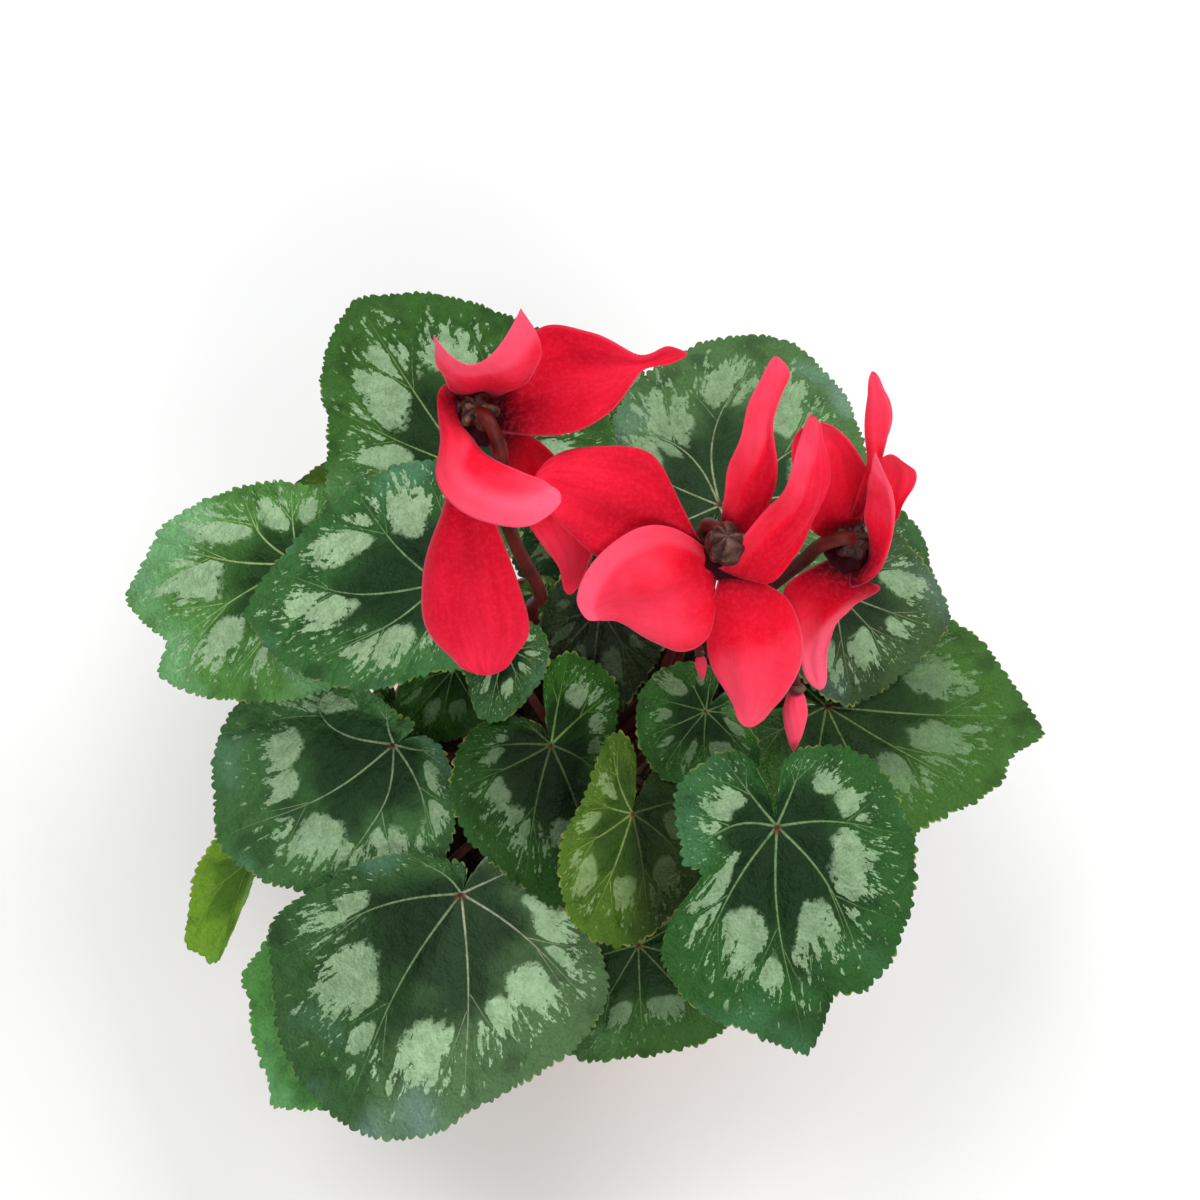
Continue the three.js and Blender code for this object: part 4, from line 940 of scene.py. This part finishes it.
def bloom_petals(name, bloom, material):
    mouth, height = THROAT["mouth"], THROAT["height"]
    inner = height - THROAT["wall"]
    profile = [(0, inner - 0.4), (0.6 * mouth, inner - 1.6), (mouth - THROAT["wall"] - 0.4, -2.4),
               (mouth - 0.4, -2.6), (mouth, -1.2), (0.92 * mouth, 0.8), (0.6 * mouth, height - 0.6),
               (0, height)]

    def fluted(wide, high, turn):
        return wide * (1 + 0.05 * np.cos(10 * turn) * eased(wide, 2, 6)), high

    skin = Skin(*BLOOM_MARKS)
    # The throat's dome, marked to be painted near black as painted shade.
    turned(skin, profile, bloom["eye"], shape=fluted, throat=1, edge=5)
    for number, petal in enumerate(bloom["petals"]):
        strip = STRIPS[name].get(number)
        add_petal(skin, bloom["eye"], petal, number, DARK[name], strip, PETAL_LIGHT_AND_SHADE[name][number])
    skin.piece(f"bloom_{name}", f"petals_{name}", material)


def bloom_stem(name, bloom, material):
    skin = Skin(*BLOOM_MARKS)
    eye = np.asarray(bloom["eye"], float)
    base, radius = THROAT["height"] + CALYX["gap"], CALYX["radius"]
    end = raised(eye, base + CALYX["joint"])
    rod(skin, [*rooted(bloom["root"]), *bloom["stem"], end], FLOWER_STEM_RADIUS, sides=FACETS["stem"])
    tall, light, notch = CUPS[name]
    profile = [(0, base), (0.6 * radius, base - 0.2), (1.1 * radius, base - 0.9),
               (1.18 * radius, base + 0.3 * tall), (radius, base + 0.7 * tall),
               (0.5 * radius, base + 0.95 * tall), (0, base + tall)]

    def ridge(turn):
        turn = turn + 0.35 * np.sin(turn + eye[0]) + 0.2 * np.sin(3 * turn)
        return np.abs(np.cos(0.6 * CALYX["sepals"] * turn)) ** 0.7

    def ridged(wide, high, turn):
        sepals = 1 - notch * (1 - np.cos(CALYX["sepals"] * turn))
        wide = wide * np.where(wide > 0.7 * radius, sepals, 1)
        side = eased(wide, 0.1 * radius, 0.6 * radius)
        ribs = ridge(turn) * side
        bumps = lumps(around(wide, turn, high + eye[0]), 4, 0.35, 3) * side
        return wide * (0.93 + 0.14 * ribs + 0.1 * bumps), high + 0.5 * ribs + bumps

    sides = FACETS["calyx"]
    ridges = light * ridge(np.linspace(0, TURN, sides, endpoint=False)) ** 3
    turned(skin, profile, eye, segments=sides, shape=ridged, throat=1, edge=ridges)
    skin.piece(f"brown_stem_{name}", f"flower_stem_{name}", material)


def add_bud(name, bud, petal, stem):
    neck, radius = bud["neck"], bud["radius"]
    axis = np.asarray(bud["tip"], float) - neck
    length = np.linalg.norm(axis)
    frame = np.array(Vector((0, 0, -1)).rotation_difference(Vector(axis)).to_matrix())

    def rolled(wide, high, angle):
        groove = np.cos(5 * angle + 0.35 * high)
        return wide * (1 + 0.07 * np.abs(groove) ** 0.5 - 0.05), high

    skin = Skin(*BLOOM_MARKS)
    profile = np.array([(0, -1), (0.35, -0.88), (0.9, -0.55), (1, -0.3), (0.6, -0.08), (0, -0.05)])
    profile = profile * (radius, length)
    turned(skin, profile, neck, frame, shape=rolled, share=0.75, edge=5, eye=5, pale=0.6)
    skin.piece(f"rolled_bud_{name}", f"bud_{name}", petal)
    skin = Skin(*BLOOM_MARKS)
    cap = [(0, 0), (0.75 * radius, -0.3), (0.8 * radius, 0.5), (0.4 * radius, 1.6), (0, 2)]
    turned(skin, cap, neck, frame, throat=1, edge=0.7)
    rod(skin, [*rooted(bud["root"]), *bud["stem"], frame @ (0, 0, 1) + neck], STALK_RADIUS)
    skin.piece(f"brown_bud_stem_{name}", f"bud_stem_{name}", stem)


# ---- pot, soil and tuber ----
def drawn_up(levels, sides):
    """A round body drawn up from its bottom disc, level by level of (radius, height)."""
    radius, height = levels[0]
    bpy.ops.object.select_all(action="DESELECT")
    bpy.ops.mesh.primitive_circle_add(vertices=sides, radius=radius * MM, fill_type="NGON",
                                      location=(0, 0, height * MM))
    obj = bpy.context.object
    bpy.ops.object.transform_apply(location=True)
    select(obj, edit=True)
    for (near, low), (far, high) in zip(levels, levels[1:]):
        bpy.ops.mesh.extrude_region_move(TRANSFORM_OT_translate={"value": (0, 0, (high - low) * MM)})
        share = far / near
        bpy.ops.transform.resize(value=(share, share, 1), center_override=(0, 0, high * MM))
    bpy.ops.mesh.select_all(action="SELECT")
    bpy.ops.mesh.normals_make_consistent(inside=False)
    bpy.ops.object.mode_set(mode="OBJECT")
    return obj


def applied(obj, kind, **settings):
    modifier = obj.modifiers.new(kind, kind)
    for key, value in settings.items():
        setattr(modifier, key, value)
    bpy.context.view_layer.objects.active = obj
    bpy.ops.object.modifier_apply(modifier=modifier.name)


def add_pot(material):
    height, base, collar, rim, drop, wall, floor = POT.values()
    shoulder = height - drop
    pot = drawn_up([
        (base - 2, 0), (base, 2), (collar, shoulder), (rim - 1, shoulder + 1.5), (rim, shoulder + 4),
        (rim, height - 3), (rim - 2, height), (rim - wall, height), (rim - wall - 1, height - 2),
        (collar - wall, shoulder - 4), (base - wall, floor)], FACETS["pot"])
    pot.name = "clay_pot"
    for i in range(DRAIN["count"]):
        angle = TURN * i / DRAIN["count"]
        at = (DRAIN["ring"] * math.cos(angle) * MM, DRAIN["ring"] * math.sin(angle) * MM, 0.5 * floor * MM)
        bpy.ops.mesh.primitive_cylinder_add(vertices=FACETS["drill"], radius=DRAIN["radius"] * MM,
                                            depth=2 * floor * MM, location=at)
        drill = bpy.context.object
        applied(pot, "BOOLEAN", operation="DIFFERENCE", object=drill, solver="EXACT")
        bpy.data.objects.remove(drill)
    applied(pot, "BEVEL", width=EDGE["round"] * MM, segments=EDGE["steps"], limit_method="ANGLE",
            angle_limit=math.radians(EDGE["sharp"]))
    select(pot)
    bpy.ops.object.shade_smooth_by_angle(angle=math.radians(EDGE["smooth"]))
    dressed(pot, "pot", material)


def add_soil(material):
    top, bed = SOIL["top"], POT["floor"] + SOIL["bed"]
    inset = POT["wall"] + SOIL["gap"]
    brim = POT["rim"] - inset - 2.4
    sides = [(0, bed), (POT["base"] - inset, bed), (POT["collar"] - inset, POT["height"] - POT["drop"] - 4),
             (brim, top - 1.5)]
    profile = np.array(sides + [(radius, top) for radius in np.linspace(brim, 0, 46)[1:]], float)
    turn = np.linspace(0, TURN, FACETS["soil"], endpoint=False)
    flat = around(profile[:, :1], turn, profile[:, 1:]).reshape(-1, 3)
    out = np.hypot(flat[:, 0], flat[:, 1])
    bump = np.clip(lumps(flat, 9, 0.9, 4) + 0.8 * eased(out, 20, 40), -1.2, 1.6) * eased(out, 20, 30)
    dish = -(TUBER["depth"] + 1) * (1 - eased(out, 20, TUBER["radius"] + 0.8))
    flat[:, 2] += np.where(flat[:, 2] > top - 1, bump + dish, 0)
    skin = Skin("edge")
    skin.add(flat, lattice(len(profile), len(turn), round_again=True)[:, ::-1])
    draw = np.random.default_rng(11).uniform
    ball = np.array([(0, -1), (0.8, -0.55), (1, 0.1), (0.6, 0.75), (0, 1)])
    for _ in range(SOIL["crumbs"]):
        angle, distance, size = draw(0, 6.28), draw(29, 56), draw(0.5, 1.5)
        place = around(distance, angle, top + 0.8 + 0.25 * size)
        turned(skin, size * ball, place, np.diag(draw(0.6, 1.2, 3)), segments=FACETS["crumb"])
    skin.piece("crumbly_soil", "soil", material)


def add_tuber(material):
    lower = np.array([(0, -1), (0.6, -0.8), (0.92, -0.4), (1, 0)]) * (TUBER["radius"], TUBER["depth"])
    upper = np.array([(0.93, 0.5), (0.68, 0.86), (0.3, 1), (0, 1)]) * (TUBER["radius"], TUBER["height"])
    profile = np.concatenate([lower, upper]) + (0, TUBER["centre"])

    def knobbly(wide, high, turn):
        rise = lumps(around(wide, turn, high), 12, 0.5, 8) * (wide > 0.1)
        return np.maximum(wide + 0.6 * rise, 0), high + rise

    skin = Skin("edge")
    turned(skin, profile, (0, 0, 0), segments=FACETS["tuber"], shape=knobbly)
    skin.piece("corky_tuber", "tuber", material)


# ---- camera, light and floor ----
def make_camera():
    data = bpy.data.cameras.new("camera")
    data.lens, data.sensor_width, data.clip_start = CAMERA["lens"], CAMERA["sensor"], 0.01
    camera = placed("camera", data)
    tilt = math.radians(CAMERA["elevation"])
    away = Vector((0, -math.cos(tilt), math.sin(tilt)))
    camera.location = (Vector(CAMERA["target"]) + away * CAMERA["distance"]) * MM
    camera.rotation_euler = (math.pi / 2 - tilt, 0, 0)
    bpy.context.scene.camera = camera


def make_studio():
    world = bpy.data.worlds.new("studio")
    world.use_nodes = True
    sky = world.node_tree.nodes["Background"]
    sky.inputs[0].default_value, sky.inputs[1].default_value = (0.94, 0.97, 1, 1), 0.3
    bpy.context.scene.world = world
    bpy.context.scene.view_settings.view_transform = "Standard"
    for name, (place, target, power, tint) in LAMPS.items():
        data = bpy.data.lights.new(name, "AREA")
        data.size, data.energy, data.color = LAMP_SIZE, power, tint
        lamp = placed(name, data)
        lamp.location = place
        lamp.rotation_euler = (Vector(target) - Vector(place)).to_track_quat("-Z", "Y").to_euler()
    bpy.ops.object.select_all(action="DESELECT")
    bpy.ops.mesh.primitive_plane_add(size=FLOOR_SIZE, location=(0, 0, 0))
    floor = bpy.context.object
    floor.name = "floor"
    floor.data.materials.append(floor_finish())


# ---- the plant ----
make_camera()
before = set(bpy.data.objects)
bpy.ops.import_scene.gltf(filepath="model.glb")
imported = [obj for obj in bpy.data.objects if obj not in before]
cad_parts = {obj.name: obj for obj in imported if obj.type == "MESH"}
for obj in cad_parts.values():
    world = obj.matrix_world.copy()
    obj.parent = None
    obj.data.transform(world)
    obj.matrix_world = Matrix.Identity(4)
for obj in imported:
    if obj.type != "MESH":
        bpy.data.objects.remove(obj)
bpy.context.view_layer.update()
make_studio()

green = leaf_finish("leaf", "#183516", "#3A6532", "#132A11", "#A6C69A", "#93AF7E", "#6C8A4A", "#94A050")
young = leaf_finish("young_leaf", "#38571E", "#58782A", "#233C12", "#9DB87E", "#A2B672", "#6C9422", "#A9A250")
petal_red, stem_brown = petal_finish(), stem_finish()
for name, leaf in LEAVES.items():
    add_leaf(name, leaf, *(("young_leaf", young) if name in YOUNG else ("leaf", green)))
for name, bloom in BLOOMS.items():
    bloom_petals(name, bloom, petal_red)
    bloom_stem(name, bloom, stem_brown)
for name, bud in BUDS.items():
    add_bud(name, bud, petal_red, stem_brown)
add_pot(clay_finish())
add_soil(soil_finish())
add_tuber(tuber_finish())
